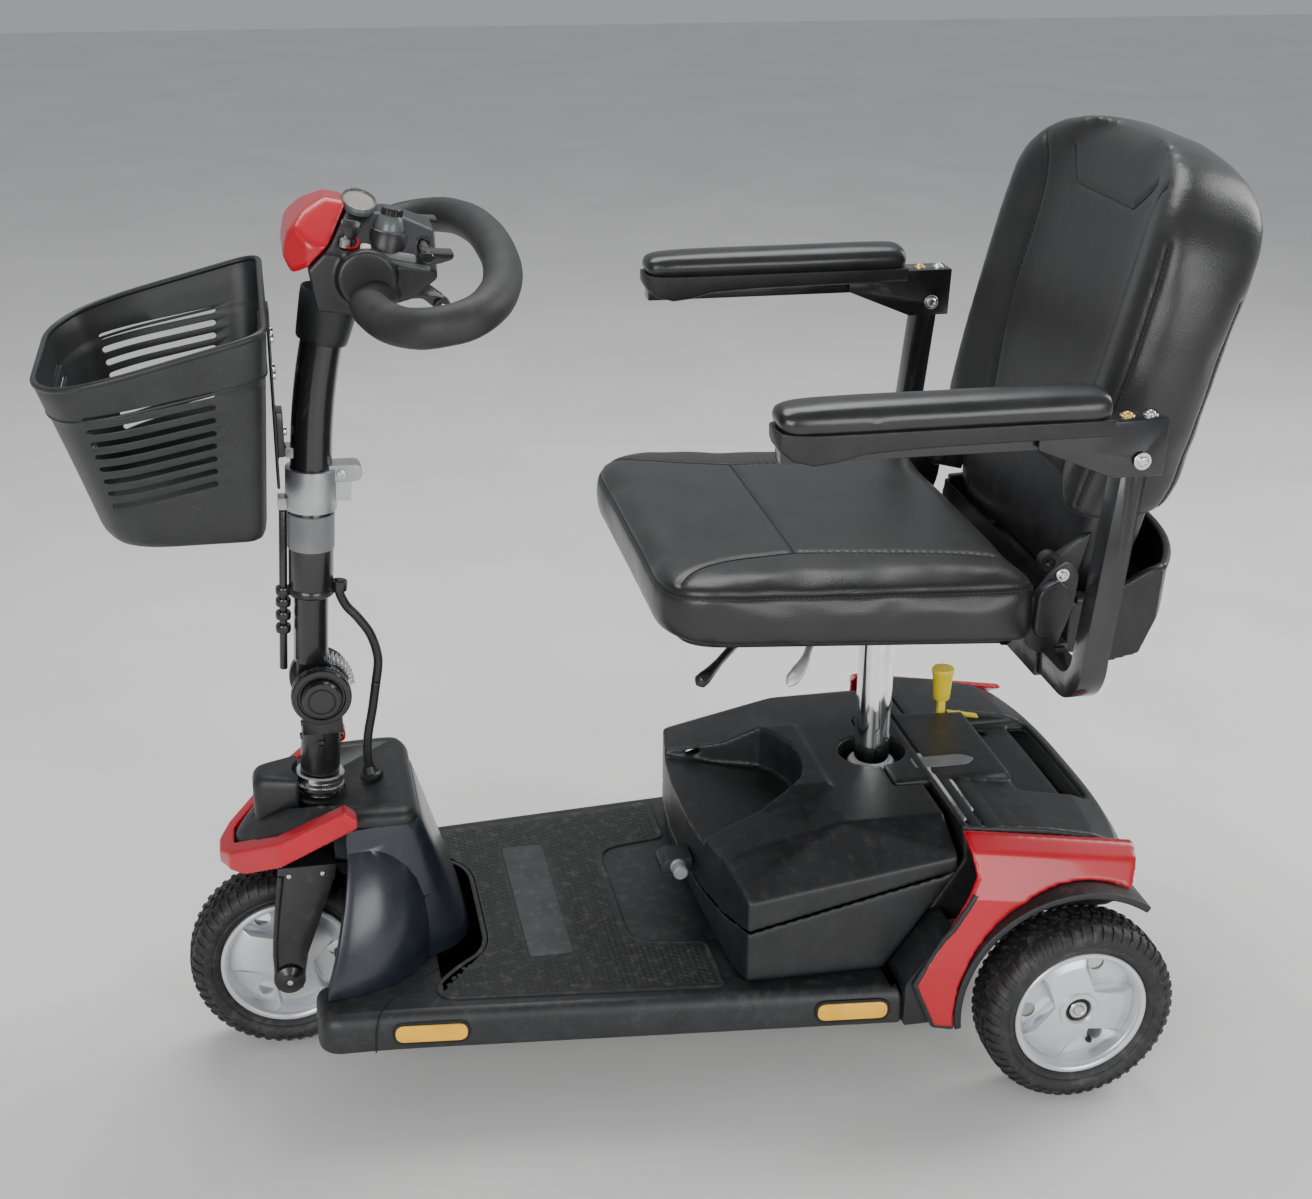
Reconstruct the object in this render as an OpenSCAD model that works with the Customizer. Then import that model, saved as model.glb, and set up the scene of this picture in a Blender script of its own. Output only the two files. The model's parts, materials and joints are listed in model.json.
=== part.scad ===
/* [Stance] */
// Distance from the front axle to the rear axle
wheelbase = 783; // [700:1:900]
// Outer radius of every tyre
tyre_r = 101.6; // [95:0.1:108]
// Radius at which the tyres sit on the rims
rim_r = 70; // [60:0.5:74]
// Width of the front tyre
front_tyre_w = 60; // [50:1:66]
// Width of each rear tyre
rear_tyre_w = 64; // [52:1:72]
// Distance from the middle plane to the inner face of a rear tyre
rear_tyre_in = 211; // [208:1:240]

/* [Steering] */
// Lean of the steering axis from upright, in degrees
rake = 5; // [2:0.5:7]
// Radius of the fork stem
stem_r = 14; // [12:0.5:15]
// Wall of the head tube around its bearings
head_wall = 6; // [4:0.5:6]
// Height of the tiller pivot above the floor
pivot_z = 407; // [400:1:440]
// Radius of the tiller pivot pin
pivot_pin_r = 6; // [4:0.5:8]
// Length of the tiller column from its pivot to the height clamp
column_len = 190; // [170:1:230]
// Radius of the lower column tube
column_r = 17; // [15:0.5:18]
// Radius of the sleeve on the column
sleeve_r = 22; // [20:0.5:23]
// Radius of the bent upper tube
upper_tube_r = 20; // [17:0.5:21]

/* [Handlebar] */
// Half width of the handlebar loop, to the middle of its tube
loop_half_w = 218; // [190:1:228]
// Half depth of the handlebar loop, front to rear
loop_half_d = 64; // [55:1:70]
// Radius of the foam-covered bar
bar_r = 18; // [14:0.5:20]

/* [Basket] */
// Length of the basket at its rim
basket_len = 208; // [180:1:225]
// Half width of the basket at its rim
basket_half_w = 160; // [130:1:180]
// Height from the basket floor to the lowest point of its rim
basket_h = 149; // [130:1:160]
// Wall of the basket
basket_wall = 3; // [2:0.5:4]

/* [Deck] */
// Height of the deck's lower edge above the floor
deck_z = 90; // [80:1:94]
// Height of the deck shell
deck_h = 41; // [41:1:50]
// Half width of the deck at the front wheel
deck_half_front = 186; // [180:1:200]
// Half width of the deck at the rear body
deck_half_rear = 236; // [225:1:245]
// Wall of every moulded shell
shell_wall = 4; // [2.5:0.5:5]
// Thickness of the foot mat
mat_t = 3; // [2:0.5:5]

/* [Battery] */
// Half width of the battery box
battery_half_w = 200; // [186:1:206]
// Height of the battery cells
cell_h = 90; // [70:1:92]
// Width of each battery cell, along the scooter
cell_w = 98; // [80:1:100]

/* [Seat] */
// Radius of the seat post
post_r = 19; // [16:0.5:21]
// Wall of the tube that receives the seat post
receiver_wall = 4; // [3:0.5:6]
// Height of the seat pan at the post
seat_z = 491; // [470:1:540]
// Half width of the seat cushion
cushion_half_w = 216; // [190:1:225]
// Thickness of the seat cushion at its front
cushion_t = 68; // [50:1:75]
// Half width of the seat back
back_half_w = 208; // [180:1:225]
// Length of the seat back above its hinge
back_len = 413; // [360:1:460]
// Recline of the seat back from upright, in degrees
recline = 14; // [8:0.5:18]
// Distance from the middle plane to the middle of each armrest
arm_y = 288; // [270:1:310]
// Side of the square armrest tube
arm_tube = 25; // [20:1:28]
// Length of the armrest pads
pad_len = 302; // [240:1:330]
// Width of the armrest pads
pad_w = 56; // [44:1:64]

/* [Hidden] */
$fn = 72;
e = 0.5;                    // overshoot of a cutting shape past the face it cuts
fit = 0.05;                 // radial clearance of a shaft in its bearing or bore
gap = 0.4;                  // clearance between neighbouring pieces

// Stations, measured back from the front axle
axle_z = tyre_r;
pivot_x = 50;
steer_x0 = pivot_x + 3 - pivot_z * tan(rake);   // where the steering axis meets the floor
post_x = wheelbase - 148;
deck_rear_x = wheelbase - 177;
deck_top = deck_z + deck_h;
well_x = 128;                                   // rear end of the front wheel well
well_half = 125;                                // half width of the front wheel well
basket_rear_x = 20;
basket_floor_z = pivot_z + 201;
back_hinge = [post_x + 113, seat_z + 66];       // x and z of the seat back's hinge
arm_pivot = [post_x + 131, seat_z + 214];       // x and z of the armrest pivots
back_front = -12;                               // seat back's faces, from its hinge line
back_rear = 100;
back_round = 30;
x_low = basket_rear_x - basket_len;
x_high = back_hinge[0] + (back_rear - back_round) * cos(recline)
    + (back_len - back_round) * sin(recline) + back_round;
x_mid = (x_low + x_high) / 2;

// Everything is drawn from the front axle, and moved so that the middle is at zero
module place() translate([-x_mid, 0, 0]) children();

// A side outline in x and z, extruded between two stations across the scooter
module side_plate(points, y0, y1)
    translate([0, y1, 0]) rotate([90, 0, 0]) linear_extrude(y1 - y0) polygon(points);
module cross_rod(x, z, r, y0, y1)
    translate([x, y1, z]) rotate([90, 0, 0]) cylinder(r = r, h = y1 - y0);
module box(x0, x1, y0, y1, z0, z1) translate([x0, y0, z0]) cube([x1 - x0, y1 - y0, z1 - z0]);
module both_sides() { children(); mirror([0, 1, 0]) children(); }
module at_rear() translate([wheelbase, 0, 0]) children();
module on_axis(s) translate([steer_x0, 0, 0]) rotate([0, rake, 0]) translate([0, 0, s]) children();
module tube(r_out, r_in, h) difference() {
    cylinder(r = r_out, h = h);
    translate([0, 0, -e]) cylinder(r = r_in, h = h + 2 * e);
}
function mirrored(half) = concat(half, [for (i = [len(half) - 1 : -1 : 0]) [half[i][0], -half[i][1]]]);
function inset(points, centre, wall) =
    [for (p = points) p + (centre - p) * wall / norm(centre - p)];

// A round tube along a list of points
function direction(p, i) = let (a = p[max(i - 1, 0)], b = p[min(i + 1, len(p) - 1)]) (b - a) / norm(b - a);
function ring(p, i, r, sides) = let (t = direction(p, i), s = abs(t[1]) < 0.9 ? [0, 1, 0] : [0, 0, 1],
    u = cross(t, s) / norm(cross(t, s)), v = cross(t, u))
    [for (k = [0 : sides - 1]) p[i] + r * (cos(360 * k / sides) * u + sin(360 * k / sides) * v)];
module swept(p, r, sides) polyhedron(
    points = [for (i = [0 : len(p) - 1]) each ring(p, i, r, sides)],
    faces = concat([[for (k = [0 : sides - 1]) k]],
        [[for (k = [sides - 1 : -1 : 0]) (len(p) - 1) * sides + k]],
        [for (i = [0 : len(p) - 2]) for (k = [0 : sides - 1])
            [i * sides + k, (i + 1) * sides + k, (i + 1) * sides + (k + 1) % sides,
                i * sides + (k + 1) % sides]]));

/* Front frame and deck */
head_r = stem_r + 3 + head_wall;            // head tube
head_bore = stem_r + 3;
head_s = [238, 290];                        // its ends along the steering axis
neck_x = 168;                               // rear foot of the neck behind the front wheel
neck_half = 20;
rail_y = 95;
rail_w = 25;
rail_z = deck_z + 8;
skirt_slope = (deck_half_rear - deck_half_front) / (deck_rear_x - 90);
function deck_half(x) = deck_half_front + max(0, x - 90) * skirt_slope;

module main_frame() place() color("dimgray") difference() {
    union() {
        on_axis(head_s[0]) cylinder(r = head_r, h = head_s[1] - head_s[0]);
        side_plate([[50, 276], [118, 274], [140, 238], [neck_x, rail_z + rail_w], [neck_x, rail_z],
            [well_x, rail_z], [well_x, 190], [112, 234], [50, 248]], -neck_half, neck_half);
        both_sides() box(well_x, deck_rear_x - 8, rail_y, rail_y + rail_w, rail_z, rail_z + rail_w);
        for (x = [well_x, 380, deck_rear_x - 33])
            box(x, x + 25, -rail_y - e, rail_y + e, rail_z, rail_z + rail_w);
    }
    on_axis(head_s[0] - e) cylinder(r = head_bore + fit, h = head_s[1] - head_s[0] + 2 * e);
}
module head_bearings() place() color("silver")
    for (s = [head_s[0], head_s[1] - 12]) on_axis(s) tube(head_bore, stem_r + fit, 12);

module deck_plan(wall) polygon(mirrored([[23 + wall, deck_half_front - wall], [90, deck_half_front - wall],
    [deck_rear_x - wall, deck_half_rear - wall]]));
module deck_shell() place() color("#222426") difference() {
    translate([0, 0, deck_z]) linear_extrude(deck_h) deck_plan(0);
    translate([0, 0, deck_z - e]) linear_extrude(deck_h - shell_wall + e) difference() {
        deck_plan(shell_wall);
        translate([0, -well_half - shell_wall]) square([well_x - 2, 2 * (well_half + shell_wall)]);
    }
    box(0, well_x - 6, -well_half, well_half, deck_z - e, deck_top + e);
    box(0, neck_x + gap, -neck_half - gap, neck_half + gap, deck_z - e, deck_top + e);
}
mat_rear = 430;
module deck_mat() place() color("#2e3032") translate([0, 0, deck_top]) linear_extrude(mat_t)
    polygon(mirrored([[200, 158], [mat_rear, 202], [mat_rear, 112], [340, 96], [340, 0]]));
module side_reflectors() place() color("orange") both_sides()
    for (x = [108, deck_rear_x - 79]) translate([x, deck_half(x), deck_z + 20])
        rotate([0, 0, atan(skirt_slope)]) translate([0, 0.6, 0]) hull()
            for (dx = [0, 52]) translate([dx, 0, 0]) rotate([-90, 0, 0]) cylinder(r = 8, h = 3, $fn = 32);

/* Front shroud */
shroud_z = [deck_top + gap, 287];           // lower shroud, bottom and top
module shroud_block(wall) hull() {
    box(62 - 8 * wall, 140 - wall, -95 + wall, 95 - wall, shroud_z[1] - 4, shroud_z[1] - wall);
    box(38 - 8 * wall, 192 - wall, -172 + wall, 172 - wall,
        shroud_z[0] - (wall > 0 ? e : 0), shroud_z[0] + 2);
}
module shroud_lower() place() color("#1c2026") difference() {
    shroud_block(0);
    shroud_block(shell_wall - 1);
    on_axis(head_s[1] - 30) cylinder(r = head_r + 4, h = 60);
}
upper_plan = [[-45, 16], [0, 62], [62, 88], [139, 92]];
module shroud_upper() place() color("#1b1c1e") difference() {
    intersection() {
        side_plate([[-45, 236], [30, 272], [62, shroud_z[1] + gap], [139, shroud_z[1] + gap], [139, 294],
            [128, 303], [60, 303], [8, 294], [-44, 244]], -100, 100);
        translate([0, 0, 200]) linear_extrude(120) polygon(mirrored(upper_plan));
    }
    on_axis(head_s[1] - 60) cylinder(r = head_r + 4, h = 90);
}
module shroud_trim() place() color("#c4101f") difference() {
    intersection() {
        side_plate([[-62, 222], [-62, 236], [64, 318], [76, 309], [76, 300], [-36, 224]], -120, 120);
        translate([0, 0, 200]) linear_extrude(130)
            polygon(mirrored([[-62, 12], [-52, 34], [0, 84], [76, 112]]));
    }
    translate([0, 0, 190]) linear_extrude(150)
        polygon(mirrored([for (p = concat(upper_plan, [[160, 93]])) p + [-gap * 2, gap * 2]]));
}

/* Fork and front wheel */
blade_y = [front_tyre_w / 2 + 12, front_tyre_w / 2 + 24];
axle_r = 6;
crown_s = [214, 232];
module fork() place() color("#18191a") difference() {
    union() {
        on_axis(crown_s[0] + 2) cylinder(r = stem_r, h = 130);
        both_sides() side_plate([[-4, 231], [54, 231], [48, 205], [20, axle_z + 26], [13, axle_z - 14],
            [-13, axle_z - 14], [-15, axle_z + 18]], blade_y[0], blade_y[1]);
        side_plate([[-4, 231], [54, 231], [52, 213], [-4, 213]], -blade_y[1], blade_y[1]);
        both_sides() cross_rod(0, axle_z, 16, blade_y[0] - 2, blade_y[1] + 2);
    }
    cross_rod(0, axle_z, axle_r + fit, -100, 100);
}
module front_axle() place() color("silver") {
    cross_rod(0, axle_z, axle_r, -blade_y[1] - 8, blade_y[1] + 8);
    both_sides() difference() {
        cross_rod(0, axle_z, 11, blade_y[1] + 2 + gap, blade_y[1] + 10);
        cross_rod(0, axle_z, axle_r + fit, 0, 100);
    }
}
module steer_collar() place() color("gainsboro")
    on_axis(head_s[1] + 6) tube(25, stem_r + fit, 18);

bearing_r = 14;
hub_r = 23;
module tyre(w) rotate([90, 0, 0]) rotate_extrude($fn = 120) difference() {
    hull_free_profile(w);
    translate([0, -w]) square([rim_r + gap / 2, 2 * w]);
}
module hull_free_profile(w) polygon([[rim_r, -w / 2 + 8], [rim_r + 14, -w / 2], [tyre_r - 12, -w / 2 + 1],
    [tyre_r - 2, -w / 2 + 9], [tyre_r, -w / 4], [tyre_r, w / 4], [tyre_r - 2, w / 2 - 9],
    [tyre_r - 12, w / 2 - 1], [rim_r + 14, w / 2], [rim_r, w / 2 - 8]]);
spoke_w = 34;
module rim(w, bore, turn) difference() {
    union() {
        rotate([90, 0, 0]) translate([0, 0, -w / 2]) tube(rim_r, rim_r - 9, w);
        for (a = [0, 120, 240]) rotate([0, turn + a, 0])
            translate([hub_r - 6, -9, -spoke_w / 2]) cube([rim_r - hub_r + 2, 18, spoke_w]);
        rotate([90, 0, 0]) translate([0, 0, -w / 2]) cylinder(r = hub_r, h = w);
    }
    rotate([90, 0, 0]) translate([0, 0, -w]) cylinder(r = bore + fit, h = 2 * w);
}
front_rim_w = front_tyre_w - 8;
module front_tyre() place() color("#1a1a1a") translate([0, 0, axle_z]) tyre(front_tyre_w);
module front_rim() place() color("silver") translate([0, 0, axle_z])
    rim(front_rim_w, bearing_r, -45);
module front_bearings() place() color("lightgray") both_sides()
    translate([0, front_rim_w / 2, axle_z]) rotate([90, 0, 0]) tube(bearing_r, axle_r + fit, 10);

/* Tiller */
column_lean = 3.2;
module at_pivot() translate([pivot_x, 0, pivot_z]) children();
column_offset = -9;              // foot of the column's middle line, from the pivot
module on_column(s) at_pivot() translate([column_offset, 0, 0]) rotate([0, column_lean, 0])
    translate([0, 0, s]) children();
ear_y = [12.5, 20];
pivot_r = 24;
stem_top = crown_s[0] + 132;
module tiller_knuckle() place() color("#202224") difference() {
    union() {
        on_axis(head_s[1] + 25) cylinder(r = 20, h = 62);
        both_sides() intersection() {
            at_pivot() union() {
                cross_rod(0, 0, pivot_r, ear_y[0], ear_y[1]);
                box(-20, 20, ear_y[0], ear_y[1], -45, 0);
            }
            box(0, 100, 0, 40, pivot_z - 60, pivot_z + 40);
        }
    }
    on_axis(head_s[1]) cylinder(r = stem_r + fit, h = stem_top - head_s[1] + 1);
    at_pivot() cross_rod(0, 0, pivot_pin_r + fit, -60, 60);
    at_pivot() cross_rod(0, 0, pivot_r + 3, -ear_y[0], ear_y[0]);
}
module pivot_disc() place() color("#151515") at_pivot() {
    cross_rod(0, 0, pivot_pin_r, -30, 30);
    both_sides() difference() {
        union() {
            cross_rod(0, 0, 30, ear_y[1] + 1, ear_y[1] + 12);
            cross_rod(0, 0, 20, ear_y[1] + 12, ear_y[1] + 20);
        }
        cross_rod(0, 0, pivot_pin_r, -60, 30);
    }
}
module tiller_column() place() color("#1d1e20") difference() {
    union() {
        at_pivot() cross_rod(0, 0, pivot_r, -ear_y[0] + gap, ear_y[0] - gap);
        on_column(30) cylinder(r = column_r, h = column_len - 40);
        on_column(105) cylinder(r = sleeve_r, h = column_len - 105);
        side_plate([[pivot_x - 22, pivot_z], [pivot_x + 20, pivot_z], [pivot_x + 8, pivot_z + 36],
            [pivot_x - 22, pivot_z + 36]], -ear_y[0] + gap, ear_y[0] - gap);
    }
    at_pivot() cross_rod(0, 0, pivot_pin_r + fit, -60, 60);
    both_sides() box(pivot_x - 60, pivot_x + 60, ear_y[0] - gap, 60, 0, pivot_z + pivot_r + 4);
}
clamp_h = 42;
module tiller_clamp() place() color("#8f9294") difference() {
    union() {
        on_column(column_len + gap) cylinder(r = upper_tube_r + 5, h = clamp_h);
        on_column(column_len + gap) box(-32, 0, -8, 8, 0, 12);
        on_column(column_len + gap) box(0, 38, -9, 9, 10, 32);
    }
    on_column(column_len - 10) cylinder(r = upper_tube_r + fit, h = clamp_h + 40);
}
bend_s = column_len + 53;       // where the upper tube starts to bend
bend_r = 690;
bend = 11;
module bent_end() on_column(bend_s) translate([bend_r, 0, 0]) rotate([0, bend, 0])
    translate([-bend_r, 0, 0]) children();
module bent_tube(r) {
    on_column(column_len + gap) cylinder(r = r, h = bend_s - column_len - gap);
    on_column(bend_s) translate([bend_r, 0, 0]) rotate([90, 0, 0]) rotate([0, 0, 180 - bend])
        rotate_extrude(angle = bend) translate([bend_r, 0]) circle(r = r);
}
module upper_tube() place() color("#161718") bent_tube(upper_tube_r);
boot_s = [-17, 28];             // ends of the boot along the tube's upper end
boot_r = [upper_tube_r + 4.5, upper_tube_r + 8];
module head_boot() place() color("#1f2022") difference() {
    bent_end() translate([0, 0, boot_s[0]])
        cylinder(r1 = boot_r[0], r2 = boot_r[1], h = boot_s[1] - boot_s[0]);
    bent_tube(upper_tube_r + fit);
    bent_end() translate([0, 0, -e]) cylinder(r = upper_tube_r + fit, h = boot_s[1] + 1);
}
rod_top = column_len - 2;
module lock_rod() place() color("#8a8c8e") on_column(20) translate([-27, 0, 0])
    cylinder(r = 4, h = rod_top - 20);

/* Head */
head_z = pivot_z + 393;         // where the console starts
module at_head() translate([0, 0, head_z]) children();
console_half = 62;
console_tilt = atan(0.2);       // the panel falls towards the rider
module on_console(p) translate([p[0], p[1], 92 - (p[0] - 100) * tan(console_tilt) + gap])
    rotate([0, console_tilt, 0]) children();
crown_flat = 20;                // half width of the panel's level middle
crown_fall = 0.9;               // slope of the panel beside it
function crown(y) = max(0, abs(y) - crown_flat) * crown_fall;
module crowned(lift) translate([100, 0, 92 + lift]) rotate([0, console_tilt, 0]) rotate([90, 0, 90])
    translate([0, 0, -100]) linear_extrude(220)
        polygon(mirrored_x([[90, -200], [90, -crown(90)], [crown_flat, 0]]));
throttle_x = 166;
throttle_z = 58;
throttle_r = 5;
knob_at = [138, -36];
knob_r = 13;
key_at = [100, -50];
key_r = 5;
button_at = [118, -56];
button_r = 5;
function sink(p, r) = crown(abs(p[1]) + r) + 1;     // depth of the flat seat under a knob
module seat_under(p, r, extra) on_console(p) translate([0, 0, -sink(p, r) - extra])
    cylinder(r = r + gap, h = 80);
module console_shell() place() color("#191a1c") at_head() difference() {
    union() {
        intersection() {
            side_plate([[66, 6], [104, 1], [153, 14], [176, 32], [178, 70], [150, 82], [100, 92], [82, 66],
                [60, 44]], -console_half, console_half);
            crowned(0);
        }
        both_sides() translate([112, console_half - 1, 36]) rotate([-90, 0, 0]) cylinder(r = 27, h = 15);
    }
    cross_rod(throttle_x, throttle_z, throttle_r + fit, -100, 100);
    seat_under(knob_at, knob_r, gap);
    seat_under(key_at, key_r, gap);
    seat_under(button_at, button_r, 2 + gap);
    translate([0, 0, -head_z]) bent_end() translate([0, 0, -60])
        cylinder(r = boot_r[1] + gap, h = 60 + boot_s[1] + gap);
}
module console_cover() place() color("#c90f1e") at_head() intersection() {
    side_plate([[38, 54], [46, 37], [59.6, 44.6], [81.5, 67], [98, 92.8], [98, 98], [79, 102],
        [58, 92], [43, 76]], -console_half - 4, console_half + 4);
    linear_extrude(200) polygon(mirrored([[38, 40], [60, 60], [98, 66]]));
    crowned(6);
}
loop_x = 172;
loop_z = 30;
loop_rise = 0.25;
function loop_point(a) = [loop_x + loop_half_d * sign(cos(a)) * pow(abs(cos(a)), 0.87),
    loop_half_w * sign(sin(a)) * pow(abs(sin(a)), 0.87),
    loop_z + loop_rise * loop_half_d * cos(a)];
module handlebar() place() color("#2b2c2d") at_head()
    swept([for (a = [-161 : 7 : 161]) loop_point(a)], bar_r, 12);
module throttle_lever() place() color("#101112") at_head() {
    cross_rod(throttle_x, throttle_z, throttle_r, -92, 92);
    both_sides() box(throttle_x, throttle_x + 24, 66, 92, throttle_z - 4, throttle_z + 4);
}
module speed_knob() place() color("#232526") at_head() on_console(knob_at)
    translate([0, 0, -sink(knob_at, knob_r)]) cylinder(r = knob_r, h = sink(knob_at, knob_r) + 8);
module key() place() color("#3a3c3e") at_head() on_console(key_at) {
    translate([0, 0, -sink(key_at, key_r)]) cylinder(r = key_r, h = 19);
    box(-9, 9, -2, 2, 17 - sink(key_at, key_r), 30 - sink(key_at, key_r));
}
module horn_button() place() color("gold") at_head() on_console(button_at)
    translate([0, 0, -sink(button_at, button_r)]) cylinder(r = button_r, h = 13);

/* Basket */
basket_foot = 24;               // how far each wall leans in towards the floor
rim_rise = 54;                  // rim's rise from its front to its rear
rim_z = basket_floor_z + basket_h;
module rim_bar(x0, dz, half, wall) side_plate([[x0 + wall, rim_z + dz - 1],
    [basket_rear_x - wall, rim_z + rim_rise - 1], [basket_rear_x - wall, rim_z + rim_rise + wall],
    [x0 + wall, rim_z + dz + wall]], -half + wall, half - wall);
module basket_block(wall) hull() {
    box(x_low + 2 * basket_foot + wall, basket_rear_x - 10 - wall, -basket_half_w + 36 + wall,
        basket_half_w - 36 - wall, basket_floor_z + wall, basket_floor_z + wall + 1);
    rim_bar(x_low, 0, basket_half_w - 60, wall);
    rim_bar(x_low + 40, 10, basket_half_w, wall);
}
module basket() place() color("#242526") difference() {
    basket_block(0);
    basket_block(basket_wall);
    for (i = [0 : 7]) translate([0, 0, basket_floor_z + 52 + i * 13]) rotate([0, -14, 0])
        translate([-20, 0, 0]) both_sides() box(-108, -10, basket_half_w - 45, basket_half_w + 5, -3, 3);
    for (i = [0 : 6]) both_sides() box(basket_rear_x - 14, basket_rear_x + 5, 28, 108,
        basket_floor_z + 60 + i * 15, basket_floor_z + 66 + i * 15);
}
module basket_bracket() place() color("#1a1b1c") {
    box(basket_rear_x + 0.6, basket_rear_x + 3.6, -20, 20, basket_floor_z + 16, basket_floor_z + 190);
    box(basket_rear_x + 3.6, basket_rear_x + 10, -12, 12, basket_floor_z + 45, basket_floor_z + 90);
}

/* Control cable, held at the shroud and on the column */
cable_r = 5;
cable_low = [[97, 0, 305], [94, 0, 318], [95, 0, 345], [101, 0, 376], [106, 0, 406]];
cable_high = [[106, 0, 407], [109, 0, 432], [103, 0, 458], [91, 0, 478], [80, 0, 492],
    [74, 0, 508], [75.5, 0, 520]];
module cable_lower() place() color("#202020") swept(cable_low, cable_r, 10);
module cable_upper() place() color("#202020") swept(cable_high, cable_r, 10);

/* Battery pack */
lid_rear = post_x + 31;
battery_front = post_x - 214;
seam_gap = 0.6;
battery_plan = mirrored([[battery_front, 40], [battery_front + 4, 90], [battery_front + 14, 150],
    [battery_front + 30, battery_half_w], [lid_rear, battery_half_w]]);
post_clear = post_r + 17;
box_z = deck_top + mat_t + gap;            // underside of the battery box
box_floor_z = deck_top + mat_t + shell_wall;
module battery_solid(wall) intersection() {
    translate([0, 0, 100]) linear_extrude(220) polygon(inset(battery_plan, [post_x - 100, 0], wall));
    hull() {
        box(battery_front - 20, battery_front - 10, -150 + wall, 150 - wall, 120, 243 - wall);
        box(battery_front - 20, battery_front - 10, -battery_half_w + wall,
            battery_half_w - wall, 120, 217 - wall);
        box(post_x - 75, lid_rear + 10, -150 + wall, 150 - wall, 120, 280 - wall);
        box(lid_rear + 9, lid_rear + 10, -battery_half_w + wall,
            battery_half_w - wall, 120, 257 - wall);
    }
}
seam = [[battery_front - 30, 178], [lid_rear + 12, 243]];
module above_seam(lift) side_plate([seam[0] + [0, lift], seam[1] + [0, lift],
    [lid_rear + 12, 330], [battery_front - 30, 330]], -260, 260);
module scoop(grow) side_plate([[battery_front + 22 - grow, 300 + grow],
    [battery_front + 30 - grow, 236 - grow], [post_x - 78 + grow, 233 - grow],
    [post_x - 104 + grow, 290], [post_x - 104 + grow, 300 + grow]], -72 - grow, 72 + grow);
module post_space() {
    translate([post_x, 0, 90]) cylinder(r = post_clear, h = 240);
    box(post_x, lid_rear + 20, -82, 82, 90, 330);
}
module battery_box() place() color("#1d1e20") difference() {
    intersection() {
        battery_solid(0);
        side_plate([[battery_front - 5, 177], [battery_front + 24, box_z], [post_x - 41, box_z],
            [lid_rear, 238], [lid_rear, 260], [battery_front - 5, 260]], -250, 250);
    }
    above_seam(-seam_gap / 2);
    difference() {
        intersection() {
            battery_solid(shell_wall);
            side_plate([[battery_front, 180], [battery_front + 28, box_floor_z],
                [post_x - 44, box_floor_z], [lid_rear - 6, 238], [lid_rear - 6, 300],
                [battery_front, 300]], -250, 250);
        }
        translate([post_x, 0, 90]) cylinder(r = post_clear + shell_wall, h = 240);
        box(post_x - shell_wall, lid_rear + 20, -82 - shell_wall, 82 + shell_wall, 90, 330);
    }
    post_space();
}
module battery_lid() place() color("#1a1b1d") difference() {
    battery_solid(0);
    difference() {
        battery_solid(shell_wall);
        scoop(shell_wall);
        translate([post_x, 0, 90]) cylinder(r = post_clear + shell_wall, h = 240);
        box(post_x - shell_wall, lid_rear + 20, -82 - shell_wall, 82 + shell_wall, 90, 330);
    }
    difference() { box(battery_front - 40, lid_rear + 10, -260, 260, 50, 400); above_seam(seam_gap / 2); }
    scoop(0);
    post_space();
}
module battery_cells() place() color("#33363a") both_sides()
    box(post_x - 160, post_x - 160 + cell_w, 12, battery_half_w - 37, box_floor_z + gap,
        box_floor_z + gap + cell_h);
module frame_latch() place() color("#7c7f82") {
    box(battery_front - 34, battery_front - gap, -76, -46, 196, 212);
    cross_rod(battery_front - 16, 204, 8, -92, -76);
}

/* Rear body */
receiver_r = post_r + receiver_wall;
receiver_top = 262;
module rear_frame() place() color("#3c3e40") difference() {
    union() {
        translate([post_x, 0, rail_z]) cylinder(r = receiver_r, h = receiver_top - rail_z);
        both_sides() box(deck_rear_x + 2, wheelbase - 20, 64, 64 + rail_w, rail_z, rail_z + rail_w);
        box(post_x - 22, post_x + 22, -64 - e, 64 + e, rail_z, rail_z + rail_w);
    }
    translate([post_x, 0, rail_z - e]) cylinder(r = post_r + fit, h = receiver_top);
}
drive_axle_r = 8.5;
module drive_unit() place() color("#6b6e71") translate([wheelbase, 0, axle_z]) difference() {
    union() {
        rotate([90, 0, 0]) translate([0, 0, -48]) cylinder(r = 50, h = 96);
        rotate([90, 0, 0]) translate([0, 0, -rear_tyre_in + 26]) cylinder(r = 16, h = 2 * rear_tyre_in - 52);
        rotate([0, -90, 0]) translate([8, 0, 30]) cylinder(r = 34, h = 84);
    }
    rotate([90, 0, 0]) translate([0, 0, -300]) cylinder(r = drive_axle_r + fit, h = 600);
}
cover_half = 186;
cover_line = [[-110, 284], [-20, 272], [45, 260], [78, 247], [95, 222], [98, 190], [92, 178], [72, 172],
    [-120, 172], [-128, 140], [-172, 140], [-106, 244]];
slot_x = [43, 66];
lever_x = wheelbase - 42;
lever_y = 80;
module rear_cover() place() color("#1c1d1f") difference() {
    union() {
        at_rear() side_plate(cover_line, -cover_half, cover_half);
        at_rear() box(-147, -108, -80, 80, 258, 282);
        at_rear() side_plate([[-147, 282], [-20, 282], [-14, 270], [-147, 270]], -78, 78);
    }
    at_rear() difference() {
        side_plate(inset(cover_line, [0, 225], shell_wall + 1), -cover_half + shell_wall,
            cover_half - shell_wall);
        box(-24, slot_x[1] + 8, -108, 108, 240, 300);
    }
    at_rear() box(-116, 84, -cover_half + shell_wall, cover_half - shell_wall, 130, 178);
    at_rear() box(-16, slot_x[1], -98, 98, 248, 300);
    at_rear() box(slot_x[0], slot_x[1], -90, 90, 150, 300);
    translate([post_x, 0, 90]) cylinder(r = post_clear, h = 240);
    box(lever_x - 8, lever_x + 54, lever_y - 6, lever_y + 6, 240, 300);
}
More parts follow.
